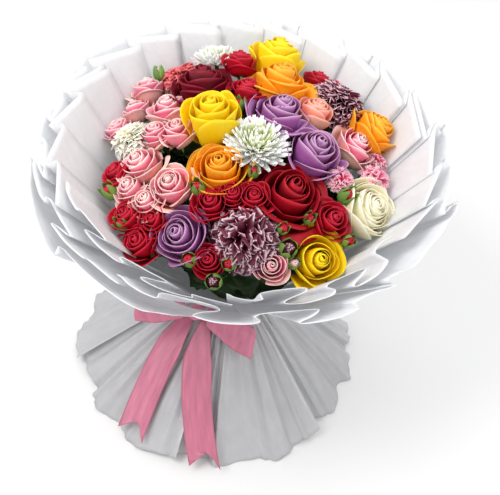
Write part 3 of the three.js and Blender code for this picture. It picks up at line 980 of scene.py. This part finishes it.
def satin_material(name, body, border):
    look, g, shader = new_material(
        name, Roughness=0.34, Sheen_Weight=0.35, Sheen_Roughness=0.35, Anisotropic=0.5,
        Specular_IOR_Level=0.6,
    )
    shader.inputs["Sheen Tint"].default_value = linear(*SATIN_SHEEN)
    # Painted highlight and shade: strong light and dark streaks follow the satin's creases.
    group = use_group(
        g, CLOTH_GROUP, Colour=linear(*body), Border_Colour=linear(*border),
        Thread=9000.0, Crease=0.8, Streak=0.7,
    )
    g.feed(shader.inputs["Base Color"], group.outputs["Color"])
    add_bump(g, shader, group.outputs["Height"], strength=0.25, distance=0.0015)
    return look


# The collar paper glows faintly in its own colour as painted light.
COLLAR_PAPER = paper_material("collar_paper", (236, 237, 240), (238, 239, 241), 0.76, 0.05)
# The skirt paper is set a darker grey than the collar paper as painted shade on the skirt.
SHADED_SKIRT_PAPER = paper_material("skirt_paper", (208, 208, 211), (216, 216, 219), 0.66, 0.0)
SATIN = satin_material("satin_ribbon", (198, 112, 138), (180, 96, 122))


def gilt_material():
    look, g, shader = new_material("gilt_foil", Metallic=1.0)
    grain = g.stretched_noise((60.0, 60.0, 1.0), 4.0)
    g.feed(shader.inputs["Base Color"], g.mix(grain, linear(176, 128, 30), linear(232, 186, 84)))
    g.feed(shader.inputs["Roughness"], g.math("ADD", 0.2, g.math("MULTIPLY", grain, 0.2)))
    add_bump(g, shader, grain, strength=0.3, distance=0.0004)
    return look


def twine_material():
    look, g, shader = new_material("jute_twine", Roughness=0.9, Sheen_Weight=0.3)
    place = g.node("ShaderNodeTexCoord").outputs["Object"]
    fibre = g.node("ShaderNodeTexNoise", None, Vector=place, Scale=900.0, Detail=4.0).outputs[0]
    g.feed(shader.inputs["Base Color"], g.mix(fibre, linear(120, 92, 52), linear(204, 176, 126)))
    add_bump(g, shader, fibre, strength=0.6, distance=0.0006)
    return look


# ---- Flowers ----
VARIETY = {
    "rose_burgundy": ("burgundy", RoseForm(20, 1.2, 0.5, 0.04, 0.2)),
    "rose_yellow_mid": ("yellow", RoseForm(13, 0.85, 0.95, 0.5, 0.06, 2.3)),
    "rose_orange_mid": ("orange", RoseForm(17, 1.12, 0.5, 0.04, 0.18)),
    "rose_yellow_back": ("yellow", RoseForm(16, 1.1, 0.7, 0.2, 0.12)),
    "rose_orange_back": ("orange", RoseForm(17, 1.25, 0.55, 0.06, 0.22)),
    "rose_lavender_back": ("lavender", RoseForm(18, 1.25, 0.5, 0.02, 0.22)),
    "rose_lavender_mid": ("lavender", RoseForm(17, 1.2, 0.5, 0.02, 0.2)),
    "rose_red_large": ("red", RoseForm(16, 1.4, 0.5, -0.04, 0.28)),
    "rose_cream_right": ("cream", RoseForm(28, 1.05, 0.45, 0.1, 0.08)),
    "rose_yellow_front": ("yellow", RoseForm(15, 1.35, 0.42, -0.06, 0.2)),
    "rose_lavender_front": ("lavender", RoseForm(17, 1.15, 0.5, 0.02, 0.2)),
    "rose_orange_right": ("orange", RoseForm(18, 1.1, 0.6, 0.15, 0.12)),
    "carnation_speckled_back": ("speckled", 130),
    "carnation_coral": ("coral", 90),
    "carnation_cream_left": ("cream_frill", 70),
    "carnation_speckled_front": ("speckled", 140),
    "chrysanthemum_centre": ("white", 210),
    "chrysanthemum_back": ("white", 180),
    "spray_rose_pink_left": ("pink", RoseForm(15, 1.12, 0.45, 0.05, 0.22)),
    "spray_rose_blush_left": ("blush", RoseForm(15, 1.12, 0.45, 0.05, 0.22)),
    "spray_rose_pink_back": ("pink", RoseForm(14, 1.12, 0.45, 0.05, 0.2)),
    "spray_rose_pink_right": ("pink", RoseForm(15, 1.12, 0.45, 0.05, 0.22)),
    "spray_carnation_pink_right": ("pink_frill", 48),
    "spray_rose_salmon_right": ("salmon", RoseForm(16, 1.1, 0.5, 0.1, 0.12)),
    "spray_rose_pink_front": ("pink", RoseForm(15, 1.02, 0.45, 0.05, 0.16)),
}
SPRAY_RED = ("spray_red", RoseForm(14, 1.05, 0.5, 0.1, 0.16))
STEM_RADIUS = 0.0024
SPRAY_STEM_RADIUS = 0.002
BRANCH_RADIUS = 0.0014
BRANCH_DROP = 0.07
STEM_SWAY = 0.0006
BRANCH_SWAY = 0.001
STEM_STEPS = 12
STEM_SIDES = 10
BRANCH_SIDES = 8
# The number of cells across a petal of a standard rose and of a spray rose.
ROSE_CELLS = {STANDARD_SIDES: 12, SPRAY_SIDES: 9}
PETAL_SLOT, STEM_SLOT, LEAF_SLOT, SEPAL_SLOT = range(4)


def head_centre(node, crown):
    return middle_of(crown, head_kind(node, crown))


def head_base(node, crown):
    return head_centre(node, crown) - crown.axis * HEAD_BASE[head_kind(node, crown)] * crown.radius


def along_line(foot, centre, z):
    return foot + (centre - foot) * (z - foot[2]) / (centre[2] - foot[2])


def main_head(node, heads, foot):
    """The head whose own axis runs back to the cut end of the stem."""
    def miss(crown):
        centre = head_centre(node, crown)
        return np.linalg.norm(centre - crown.axis * centre[2] / crown.axis[2] - foot)
    return min(heads, key=miss)


def stem_path(start, end, sway, draw):
    t = np.linspace(0, 1, STEM_STEPS)[:, None]
    drift = np.array([draw.uniform(-1, 1), draw.uniform(-1, 1), 0]) * sway
    return start + (end - start) * t + drift * np.sin(pi * t)


def add_stems(pieces, node, heads, foot, draw):
    spray = node.startswith("spray")
    main = main_head(node, heads, foot)
    centre = head_centre(node, main)
    radius = SPRAY_STEM_RADIUS if spray else STEM_RADIUS
    path = stem_path(foot, head_base(node, main), STEM_SWAY, draw)
    add_tube(pieces, path, radius, STEM_SIDES, draw.random(), STEM_SLOT)
    for crown in heads:
        if crown is main:
            continue
        base = head_base(node, crown)
        root = along_line(foot, centre, head_centre(node, crown)[2] - BRANCH_DROP)
        path = stem_path(root, base, BRANCH_SWAY, draw)
        add_tube(pieces, path, BRANCH_RADIUS, BRANCH_SIDES, draw.random(), STEM_SLOT)
    return main


COLLAR_LOW, COLLAR_HIGH = (corner[2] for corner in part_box("collar_inner_left"))
CONE_FOOT = 0.030
CONE_SPREAD = 0.145


def inside_paper(point):
    """Whether a point is well inside the cone of the paper collar."""
    rise = (point[2] - COLLAR_LOW) / (COLLAR_HIGH - COLLAR_LOW)
    return np.hypot(point[0], point[1]) < CONE_FOOT + CONE_SPREAD * rise


LEAF_LEVELS = (0.030, 0.045, 0.062, 0.082)
LEAF_LENGTH = 0.042
LEAF_LENGTH_SPREAD = 0.012
# Leaves that sit less than this far below the head are shorter.
FULL_LEAF_LEVEL = 0.05


def add_leaves(pieces, node, main, foot, draw):
    base = head_base(node, main)
    line = (foot - base) / np.linalg.norm(foot - base)
    spin = draw.uniform(0, 2 * pi)
    turn = standing(-line)
    for k, level in enumerate(LEAF_LEVELS):
        for side in range(2):
            angle = spin + k * GOLDEN_ANGLE + side * pi
            out = np.array([cos(angle), sin(angle), 0.25]) @ turn
            length = LEAF_LENGTH + LEAF_LENGTH_SPREAD * draw.random()
            length -= 0.1 * max(0.0, FULL_LEAF_LEVEL - level)
            root = base + line * level
            if inside_paper(root + out * length / np.linalg.norm(out)):
                add_leaf(pieces, root, out, -line, length, draw, LEAF_SLOT)


def add_head(pieces, node, crown, draw):
    form = VARIETY.get(node, SPRAY_RED)[1]
    kind = head_kind(node, crown)
    if kind == "bud":
        add_bud(pieces, crown, draw, PETAL_SLOT, SEPAL_SLOT)
    elif kind == "rose":
        add_rose(pieces, form, crown, ROSE_CELLS[crown.sides], draw, PETAL_SLOT)
        add_calyx(pieces, crown, CROWN_RISE["rose"] * HEAD_FILL + 0.9 * ROSE_FULLNESS, draw, SEPAL_SLOT)
    elif kind == "carnation":
        add_carnation(pieces, crown, form, draw, PETAL_SLOT)
        centre = middle_of(crown, kind) - crown.axis * 0.05 * crown.radius
        add_cup(pieces, centre, standing(crown.axis), crown.radius * 0.75, SEPAL_SLOT, LONG_CUP_LOW)


# ---- Chrysanthemums: one strap petal, set out in a spiral ----
# As a share of the petal's length.
STRAP_THICKNESS = 0.012


def strap_petal(material):
    """A narrow petal of unit length along +X, hollowed along its middle and curling up at its tip."""
    u, v = across_and_up(columns=4, rows=7)
    width = 0.115 * np.sin(pi * (0.12 + 0.80 * v)) ** 0.6
    y = u * width
    z = 0.07 * np.abs(u) ** 2 + 0.16 * v ** 2.5 - 0.05 * np.sin(pi * v)
    pieces = Pieces()
    add_slab(pieces, np.stack([v, y, z], axis=-1), STRAP_THICKNESS, 0.0, 0.5)
    strap = pieces.make("strap_petal", [material])
    for label in ("ring", "tone"):
        strap.data.attributes.remove(strap.data.attributes[label])
    return strap


def spiral_bloom_tree():
    """Sets petals out on a golden-angle spiral, upright at the heart and spread at the outside."""
    tree = bpy.data.node_groups.new("spiral_bloom", "GeometryNodeTree")
    for label, kind in (
        ("Geometry", "NodeSocketGeometry"), ("Petal", "NodeSocketObject"), ("Count", "NodeSocketInt"),
        ("Radius", "NodeSocketFloat"), ("Upright", "NodeSocketFloat"), ("Spread", "NodeSocketFloat"),
        ("Unruly", "NodeSocketFloat"), ("Seed", "NodeSocketInt"), ("Finish", "NodeSocketMaterial"),
    ):
        tree.interface.new_socket(label, in_out="INPUT", socket_type=kind)
    tree.interface.new_socket("Geometry", in_out="OUTPUT", socket_type="NodeSocketGeometry")
    g = Graph(tree)
    start = g.node("NodeGroupInput").outputs
    end = g.node("NodeGroupOutput")
    line = g.node("GeometryNodeMeshLine", None, Count=start["Count"])
    index = g.node("GeometryNodeInputIndex").outputs[0]
    share = g.math("DIVIDE", index, g.math("SUBTRACT", start["Count"], 1.0))
    angle = g.math("MULTIPLY", index, GOLDEN_ANGLE)
    root = g.math("MULTIPLY", g.math("MULTIPLY", g.math("SQRT", share), 0.2), start["Radius"])
    drop = g.math("MULTIPLY", g.math("MULTIPLY", share, share), g.math("MULTIPLY", start["Radius"], -0.12))
    place = g.node("ShaderNodeCombineXYZ", None)
    g.feed(place.inputs[0], g.math("MULTIPLY", g.math("COSINE", angle), root))
    g.feed(place.inputs[1], g.math("MULTIPLY", g.math("SINE", angle), root))
    g.feed(place.inputs[2], drop)
    points = g.node("GeometryNodeSetPosition", None, Geometry=line.outputs[0], Position=place.outputs[0])

    def random(low, high, seed_step):
        node = g.node("FunctionNodeRandomValue", {"data_type": "FLOAT"})
        g.feed(node.inputs[2], low)
        g.feed(node.inputs[3], high)
        g.feed(node.inputs["ID"], index)
        g.feed(node.inputs["Seed"], g.math("ADD", start["Seed"], seed_step))
        return node.outputs[1]

    ease = g.math("POWER", share, 0.55)
    span = g.math("SUBTRACT", start["Spread"], start["Upright"])
    tilt = g.math("ADD", start["Upright"], g.math("MULTIPLY", ease, span))
    tilt = g.math("ADD", tilt, g.math("MULTIPLY", random(-1.0, 1.0, 1.0), start["Unruly"]))
    turn = g.node("ShaderNodeCombineXYZ", None)
    roll = g.math("MULTIPLY", random(-1.0, 1.0, 2.0), g.math("MULTIPLY", start["Unruly"], 3.0))
    g.feed(turn.inputs[0], roll)
    g.feed(turn.inputs[1], g.math("MULTIPLY", tilt, -1.0))
    g.feed(turn.inputs[2], g.math("ADD", angle, g.math("MULTIPLY", random(-1.0, 1.0, 3.0), start["Unruly"])))
    size = g.math("ADD", 0.52, g.math("MULTIPLY", ease, 0.34))
    size = g.math("MULTIPLY", size, random(0.88, 1.1, 4.0))
    size = g.math("MULTIPLY", size, start["Radius"])
    petal = g.node("GeometryNodeObjectInfo", None, Object=start["Petal"]).outputs["Geometry"]
    flower = g.node("GeometryNodeInstanceOnPoints", None, Points=points.outputs[0], Instance=petal)
    g.feed(flower.inputs["Rotation"], turn.outputs[0])
    g.feed(flower.inputs["Scale"], size)
    shaped = flower.outputs[0]
    for label, value in (("ring", share), ("tone", random(0.0, 1.0, 5.0))):
        kept = {"data_type": "FLOAT", "domain": "INSTANCE"}
        store = g.node("GeometryNodeStoreNamedAttribute", kept, Geometry=shaped)
        store.inputs["Name"].default_value = label
        g.feed(store.inputs["Value"], value)
        shaped = store.outputs[0]
    real = g.node("GeometryNodeRealizeInstances", None, Geometry=shaped)
    done = g.node("GeometryNodeSetMaterial", None, Geometry=real.outputs[0], Material=start["Finish"])
    g.feed(end.inputs[0], done.outputs[0])
    return tree


def grown(name, tree, **values):
    """Runs a geometry tree with the given inputs and returns its plain mesh."""
    holder = bpy.data.objects.new(name, bpy.data.meshes.new(name))
    bpy.context.scene.collection.objects.link(holder)
    modifier = holder.modifiers.new("grow", "NODES")
    modifier.node_group = tree
    for item in tree.interface.items_tree:
        if item.in_out == "INPUT" and item.name in values:
            modifier[item.identifier] = values[item.name]
    bpy.context.view_layer.update()
    evaluated = holder.evaluated_get(bpy.context.evaluated_depsgraph_get())
    mesh = bpy.data.meshes.new_from_object(evaluated)
    bpy.data.objects.remove(holder)
    return mesh


def add_mesh(piece, mesh, matrix):
    """Joins another mesh, moved by the matrix, to a piece."""
    mesh.transform(matrix)
    work = bmesh.new()
    work.from_mesh(piece.data)
    work.from_mesh(mesh)
    work.to_mesh(piece.data)
    work.free()


def crown_matrix(crown, centre):
    turn = standing(crown.axis)
    return Matrix.Translation(Vector(centre)) @ Matrix(turn.tolist()).transposed().to_4x4()


# ---- Assembly of the flowers ----
SLOT_OF = {row["node"]: row["material_slot"] for row in frame["record"]["subparts"]}
NAMES = sorted(SLOT_OF)


FIRST_SEED = 7000


def drawing(node):
    """The random draws of a node, the same each run."""
    return np.random.default_rng(FIRST_SEED + NAMES.index(node))


def enter(piece, node):
    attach(piece, "root")
    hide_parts(node)
    SLOT_OF[node]


def make_flower(node):
    draw = drawing(node)
    pieces = Pieces()
    heads = crowns(node)
    foot = stem_foot(node)
    main = add_stems(pieces, node, heads, foot, draw)
    add_leaves(pieces, node, main, foot, draw)
    for crown in heads:
        add_head(pieces, node, crown, draw)
    petals = PETALS[VARIETY.get(node, SPRAY_RED)[0]]
    pieces.level()
    piece = pieces.make(f"bloom_of_{node}", [petals, STEM, LEAF, SEPAL], weld=True)
    if head_kind(node, main) == "chrysanthemum":
        add_chrysanthemum(piece, node, main)
    enter(piece, node)


CHRYSANTHEMUM_FULLNESS = 1.06


def add_chrysanthemum(piece, node, crown):
    centre = head_centre(node, crown) - crown.axis * 0.22 * crown.radius
    mesh = grown(
        "bloom", BLOOM_TREE, Petal=STRAP, Count=VARIETY[node][1],
        Radius=float(crown.radius * CHRYSANTHEMUM_FULLNESS), Upright=1.45, Spread=-0.12, Unruly=0.10,
        Seed=NAMES.index(node), Finish=PETALS["white"],
    )
    add_mesh(piece, mesh, crown_matrix(crown, centre))


STRAP = strap_petal(PETALS["white"])
BLOOM_TREE = spiral_bloom_tree()
FLOWERS = [n for n in NAMES if n.startswith(("rose", "spray", "carnation", "chrysanthemum"))]
for flower in FLOWERS:
    make_flower(flower)
bpy.data.objects.remove(STRAP)


# ---- Paper ----
PAPER_THICKNESS = 0.0004
PAPER_BORDER = 0.0022
DENT_WAVES = 12
# Flat map units per metre of sheet.
CLOTH_SCALE = 4
# The depth of a sheet's dents, the count of its soft folds and their depth.
PaperHand = namedtuple("PaperHand", "dent folds depth")
ROLLED_COLLAR = PaperHand(0.0010, 3, 0.0006)
PLAIN_COLLAR = PaperHand(0.0010, 5, 0.0022)
SKIRT = PaperHand(0.0012, 6, 0.0026)


def sheet_lengths(grid):
    """Running lengths across and up a sheet, in metres."""
    across = np.linalg.norm(np.diff(grid, axis=1), axis=2)
    along = np.linalg.norm(np.diff(grid, axis=0), axis=2)
    u = np.concatenate([np.zeros((len(grid), 1)), across.cumsum(axis=1)], axis=1)
    v = np.concatenate([np.zeros((1, grid.shape[1])), along.cumsum(axis=0)], axis=0)
    return u, v


def sheet_area(grid):
    a = grid[1:, 1:] - grid[:-1, :-1]
    b = grid[1:, :-1] - grid[:-1, 1:]
    return float(np.linalg.norm(np.cross(a, b), axis=2).sum() / 2)


def hills(shape, draw, waves, size):
    """Smooth random hills over a grid, of the given size."""
    v, u = np.meshgrid(np.linspace(0, 1, shape[0]), np.linspace(0, 1, shape[1]), indexing="ij")
    total = np.zeros(shape)
    for _ in range(waves):
        a, b = draw.uniform(2, 11), draw.uniform(1, 5)
        total += np.sin(2 * pi * (a * u * draw.choice([-1, 1]) + b * v) + draw.uniform(0, 2 * pi))
    return total * size / waves


def border_mask(u, v, width, sides):
    """1 on the pressed border strip of a sheet, 0 inside it."""
    edge = np.zeros(u.shape)
    if "top" in sides:
        edge = np.maximum(edge, (v.max(axis=0)[None] - v) < width)
    if "ends" in sides:
        edge = np.maximum(edge, (u < width) | ((u.max(axis=1)[:, None] - u) < width))
    return edge.astype(float)


def add_cloth(pieces, grid, thickness, edge, tone):
    u, v = sheet_lengths(grid)
    uvs = np.stack([u * CLOTH_SCALE, v * CLOTH_SCALE], axis=-1).reshape(-1, 2)
    points, quads = slab(grid, thickness)
    tint = tint_rows(edge.ravel(), 0.5, tone)
    pieces.add(points, quads, np.concatenate([uvs, uvs]), np.concatenate([tint, tint]))


def declare_sheet(grid):
    """The sheet's width and length, its longest running lengths, and its real area no larger than their
    product; nothing is done with them.
    """
    u, v = sheet_lengths(grid)
    width, length = round(float(u.max()), 3), round(float(v.max()), 3)
    area = min(sheet_area(grid), width * length)


def crumple(grid, draw, size):
    """Moves a sheet's points along its faces' normals into soft dents, less near its low edge."""
    rise = np.linspace(0, 1, len(grid))[:, None] ** 0.5
    return grid + grid_normals(grid) * (hills(grid.shape[:2], draw, DENT_WAVES, size) * rise)[..., None]


def soft_folds(grid, draw, count, depth, tied_low):
    """Moves a sheet into soft folds that run up it from where it is tied, a few of them deeper."""
    rows, columns = grid.shape[:2]
    t = np.linspace(0, 1, rows)[:, None]
    s = np.linspace(0, 1, columns)[None]
    away = t if tied_low else 1 - t
    start, sway, second = draw.uniform(0, 2 * pi, 3)
    line = 2 * pi * count * s + 1.6 * np.sin(2 * pi * 1.3 * s + sway) + 0.8 * away + start
    wave = np.sin(line) + 0.45 * np.sin(2.3 * line + second)
    calm = smooth(away / 0.35) * smooth(np.minimum(s, 1 - s) / 0.06)
    return grid + grid_normals(grid) * (depth * wave * calm)[..., None]


def make_paper(node, look, hand, pleated=False):
    draw = drawing(node)
    tied_low = not node.startswith("skirt")
    grid = finer(sheet_grid(node), per_row=8, per_column=6, folded=pleated)
    grid = soft_folds(grid, draw, hand.folds, hand.depth, tied_low)
    grid = crumple(grid, draw, hand.dent)
    grid[..., 2] = np.maximum(grid[..., 2], PAPER_THICKNESS)
    u, v = sheet_lengths(grid)
    edge = border_mask(u, v, PAPER_BORDER, ("top", "ends"))
    pieces = Pieces()
    add_cloth(pieces, grid, PAPER_THICKNESS, edge, draw.random())
    piece = pieces.make(f"paper_of_{node}", [look])
    enter(piece, node)
    declare_sheet(grid)


TIE = "twine_round_stems"


def make_twine():
    low, high = (np.array(c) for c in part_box("binding_twine"))
    radius = (high[0] - low[0]) / 2
    ply, ply_sides = 0.0006, 6
    turns, steps, lays = 3, 420, 45
    t = np.linspace(0, 1, turns * steps)
    angle = 2 * pi * turns * t
    height = low[2] + 2 * ply + (high[2] - low[2] - 4 * ply) * t
    ring = radius - 2 * ply
    pieces = Pieces()
    for side in (0, pi):
        twist = angle * lays + side
        r = ring + ply * np.cos(twist)
        path = np.stack([r * np.cos(angle), r * np.sin(angle), height + ply * np.sin(twist)], axis=1)
        add_tube(pieces, path, ply, ply_sides, 0.5)
    piece = pieces.make(TIE, [twine_material()], weld=True)
    enter(piece, "binding_twine")


make_twine()
for node in (n for n in NAMES if n.startswith("collar")):
    plain = node.startswith(("collar_outer_back", "collar_outer_right"))
    hand = PLAIN_COLLAR if plain else ROLLED_COLLAR
    make_paper(node, COLLAR_PAPER, hand, node.startswith("collar_back"))
for node in (n for n in NAMES if n.startswith("skirt")):
    make_paper(node, SHADED_SKIRT_PAPER, SKIRT)


# ---- Ribbon, knot and gilt edge ----
RIBBON_THICKNESS = 0.0004
RIBBON_BORDER = 0.0012
RIBBON_WAVES = 6
RIBBON_WAVE = 0.0004
BAND_DEPTH = 0.0010
BAND_FOLDS = 3.5
BAND_FOLD_DEPTH = 0.0007
BAND_WAVER = 0.0008
KNOT_FILL = 0.95
KNOT_FOLDS = 6
KNOT_FOLD_DEPTH = 0.09
LOOP_PUFF = 0.0035
TAIL_PUFF = 0.0014
GILT_THICKNESS = 0.0005


def make_ribbon(node, straight, puff):
    """A length of ribbon, crowned across its width by puff with two soft channels along it."""
    draw = drawing(node)
    grid = finer(sheet_grid(node), per_row=6, per_column=8, folded=straight)
    u, v = sheet_lengths(grid)
    wide, long = (u, v) if u.max() < v.max() else (v, u)
    across, along = wide / wide.max(), long / long.max()
    channels = 0.4 * np.sin(3 * pi * across + 2 * along) * smooth(along / 0.3)
    crown = puff * np.sin(pi * across) * (1 + channels)
    normals = grid_normals(grid)
    outward = np.sign((normals[..., :2] * grid[..., :2]).sum())
    rise = crown + hills(grid.shape[:2], draw, RIBBON_WAVES, RIBBON_WAVE)
    grid = grid + normals * outward * rise[..., None]
    u, v = sheet_lengths(grid)
    pieces = Pieces()
    sides = ("ends",) if u.max() < v.max() else ("top",)
    edge = border_mask(u, v, RIBBON_BORDER, sides)
    add_cloth(pieces, grid, RIBBON_THICKNESS, edge, draw.random())
    piece = pieces.make(f"satin_of_{node}", [SATIN])
    enter(piece, node)
    declare_sheet(grid)


def make_band():
    """The ribbon gathered round the waist, its width drawn into lengthwise folds."""
    low, high = (np.array(c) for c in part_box("ribbon_band"))
    outer = (high[0] - low[0]) / 2
    steps, across = 144, 17
    turn = np.linspace(0, 2 * pi, steps, endpoint=False)
    t = np.linspace(0, 1, across)
    folds = np.sin(2 * pi * BAND_FOLDS * t[:, None] + 0.8 * np.sin(2 * turn)[None])
    gather = BAND_FOLD_DEPTH * folds * np.sin(pi * t)[:, None]
    radius = outer - BAND_DEPTH + RIBBON_THICKNESS + gather
    height = low[2] + (high[2] - low[2]) * t[:, None] + BAND_WAVER * np.sin(3 * turn)[None]
    front = round_points(radius, turn, height + 0 * turn[None])
    back = front - round_points(1.0, turn, 0 * turn)[None] * RIBBON_THICKNESS
    grid = np.concatenate([front, back[::-1], front[:1]])
    uvs = unit_uv(len(grid), steps) * np.array([1.1, 0.15])
    tint = tint_rows(np.zeros(len(uvs)), 0.5, 0.5)
    pieces = Pieces()
    pieces.add(grid.reshape(-1, 3), grid_quads(len(grid), steps, wrap=True), uvs, tint)
    piece = pieces.make("satin_round_waist", [SATIN], weld=True)
    enter(piece, "ribbon_band")


def make_knot():
    """A tight knot of ribbon: a rounded lump with folds that run over it and pinch at its ends."""
    low, high = (np.array(c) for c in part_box("ribbon_knot"))
    centre, half = (low + high) / 2, (high - low) / 2
    rows, columns = 25, 48
    polar_angle = np.linspace(0, pi, rows)[:, None]
    turn = np.linspace(0, 2 * pi, columns, endpoint=False)[None]
    ridges = np.sin(KNOT_FOLDS * turn + 1.5 * np.cos(polar_angle))
    fold = 1 + KNOT_FOLD_DEPTH * ridges * np.sin(polar_angle)
    squash = np.sin(polar_angle) ** 0.8
    x = np.cos(polar_angle) * np.ones_like(turn)
    y = squash * np.cos(turn) * fold
    z = squash * np.sin(turn) * fold
    grid = centre + KNOT_FILL * np.stack([x * half[0], y * half[1], z * half[2]], axis=-1)
    uvs = unit_uv(rows, columns) * 0.2
    tint = tint_rows(np.zeros(len(uvs)), 0.5, 0.5)
    pieces = Pieces()
    pieces.add(grid.reshape(-1, 3), grid_quads(rows, columns, wrap=True), uvs, tint)
    piece = pieces.make("satin_knot", [SATIN], weld=True)
    enter(piece, "ribbon_knot")


def make_gilt():
    grid = finer(sheet_grid("gilt_edge_trim"), per_row=4, per_column=6)
    pieces = Pieces()
    add_cloth(pieces, grid, GILT_THICKNESS, np.zeros(grid.shape[:2]), 0.5)
    piece = pieces.make("gilt_edge_foil", [gilt_material()])
    enter(piece, "gilt_edge_trim")


make_band()
make_knot()
for side in ("left", "right"):
    make_ribbon(f"ribbon_loop_{side}", False, LOOP_PUFF)
for side in ("left", "right"):
    make_ribbon(f"ribbon_tail_{side}", True, TAIL_PUFF)
make_gilt()
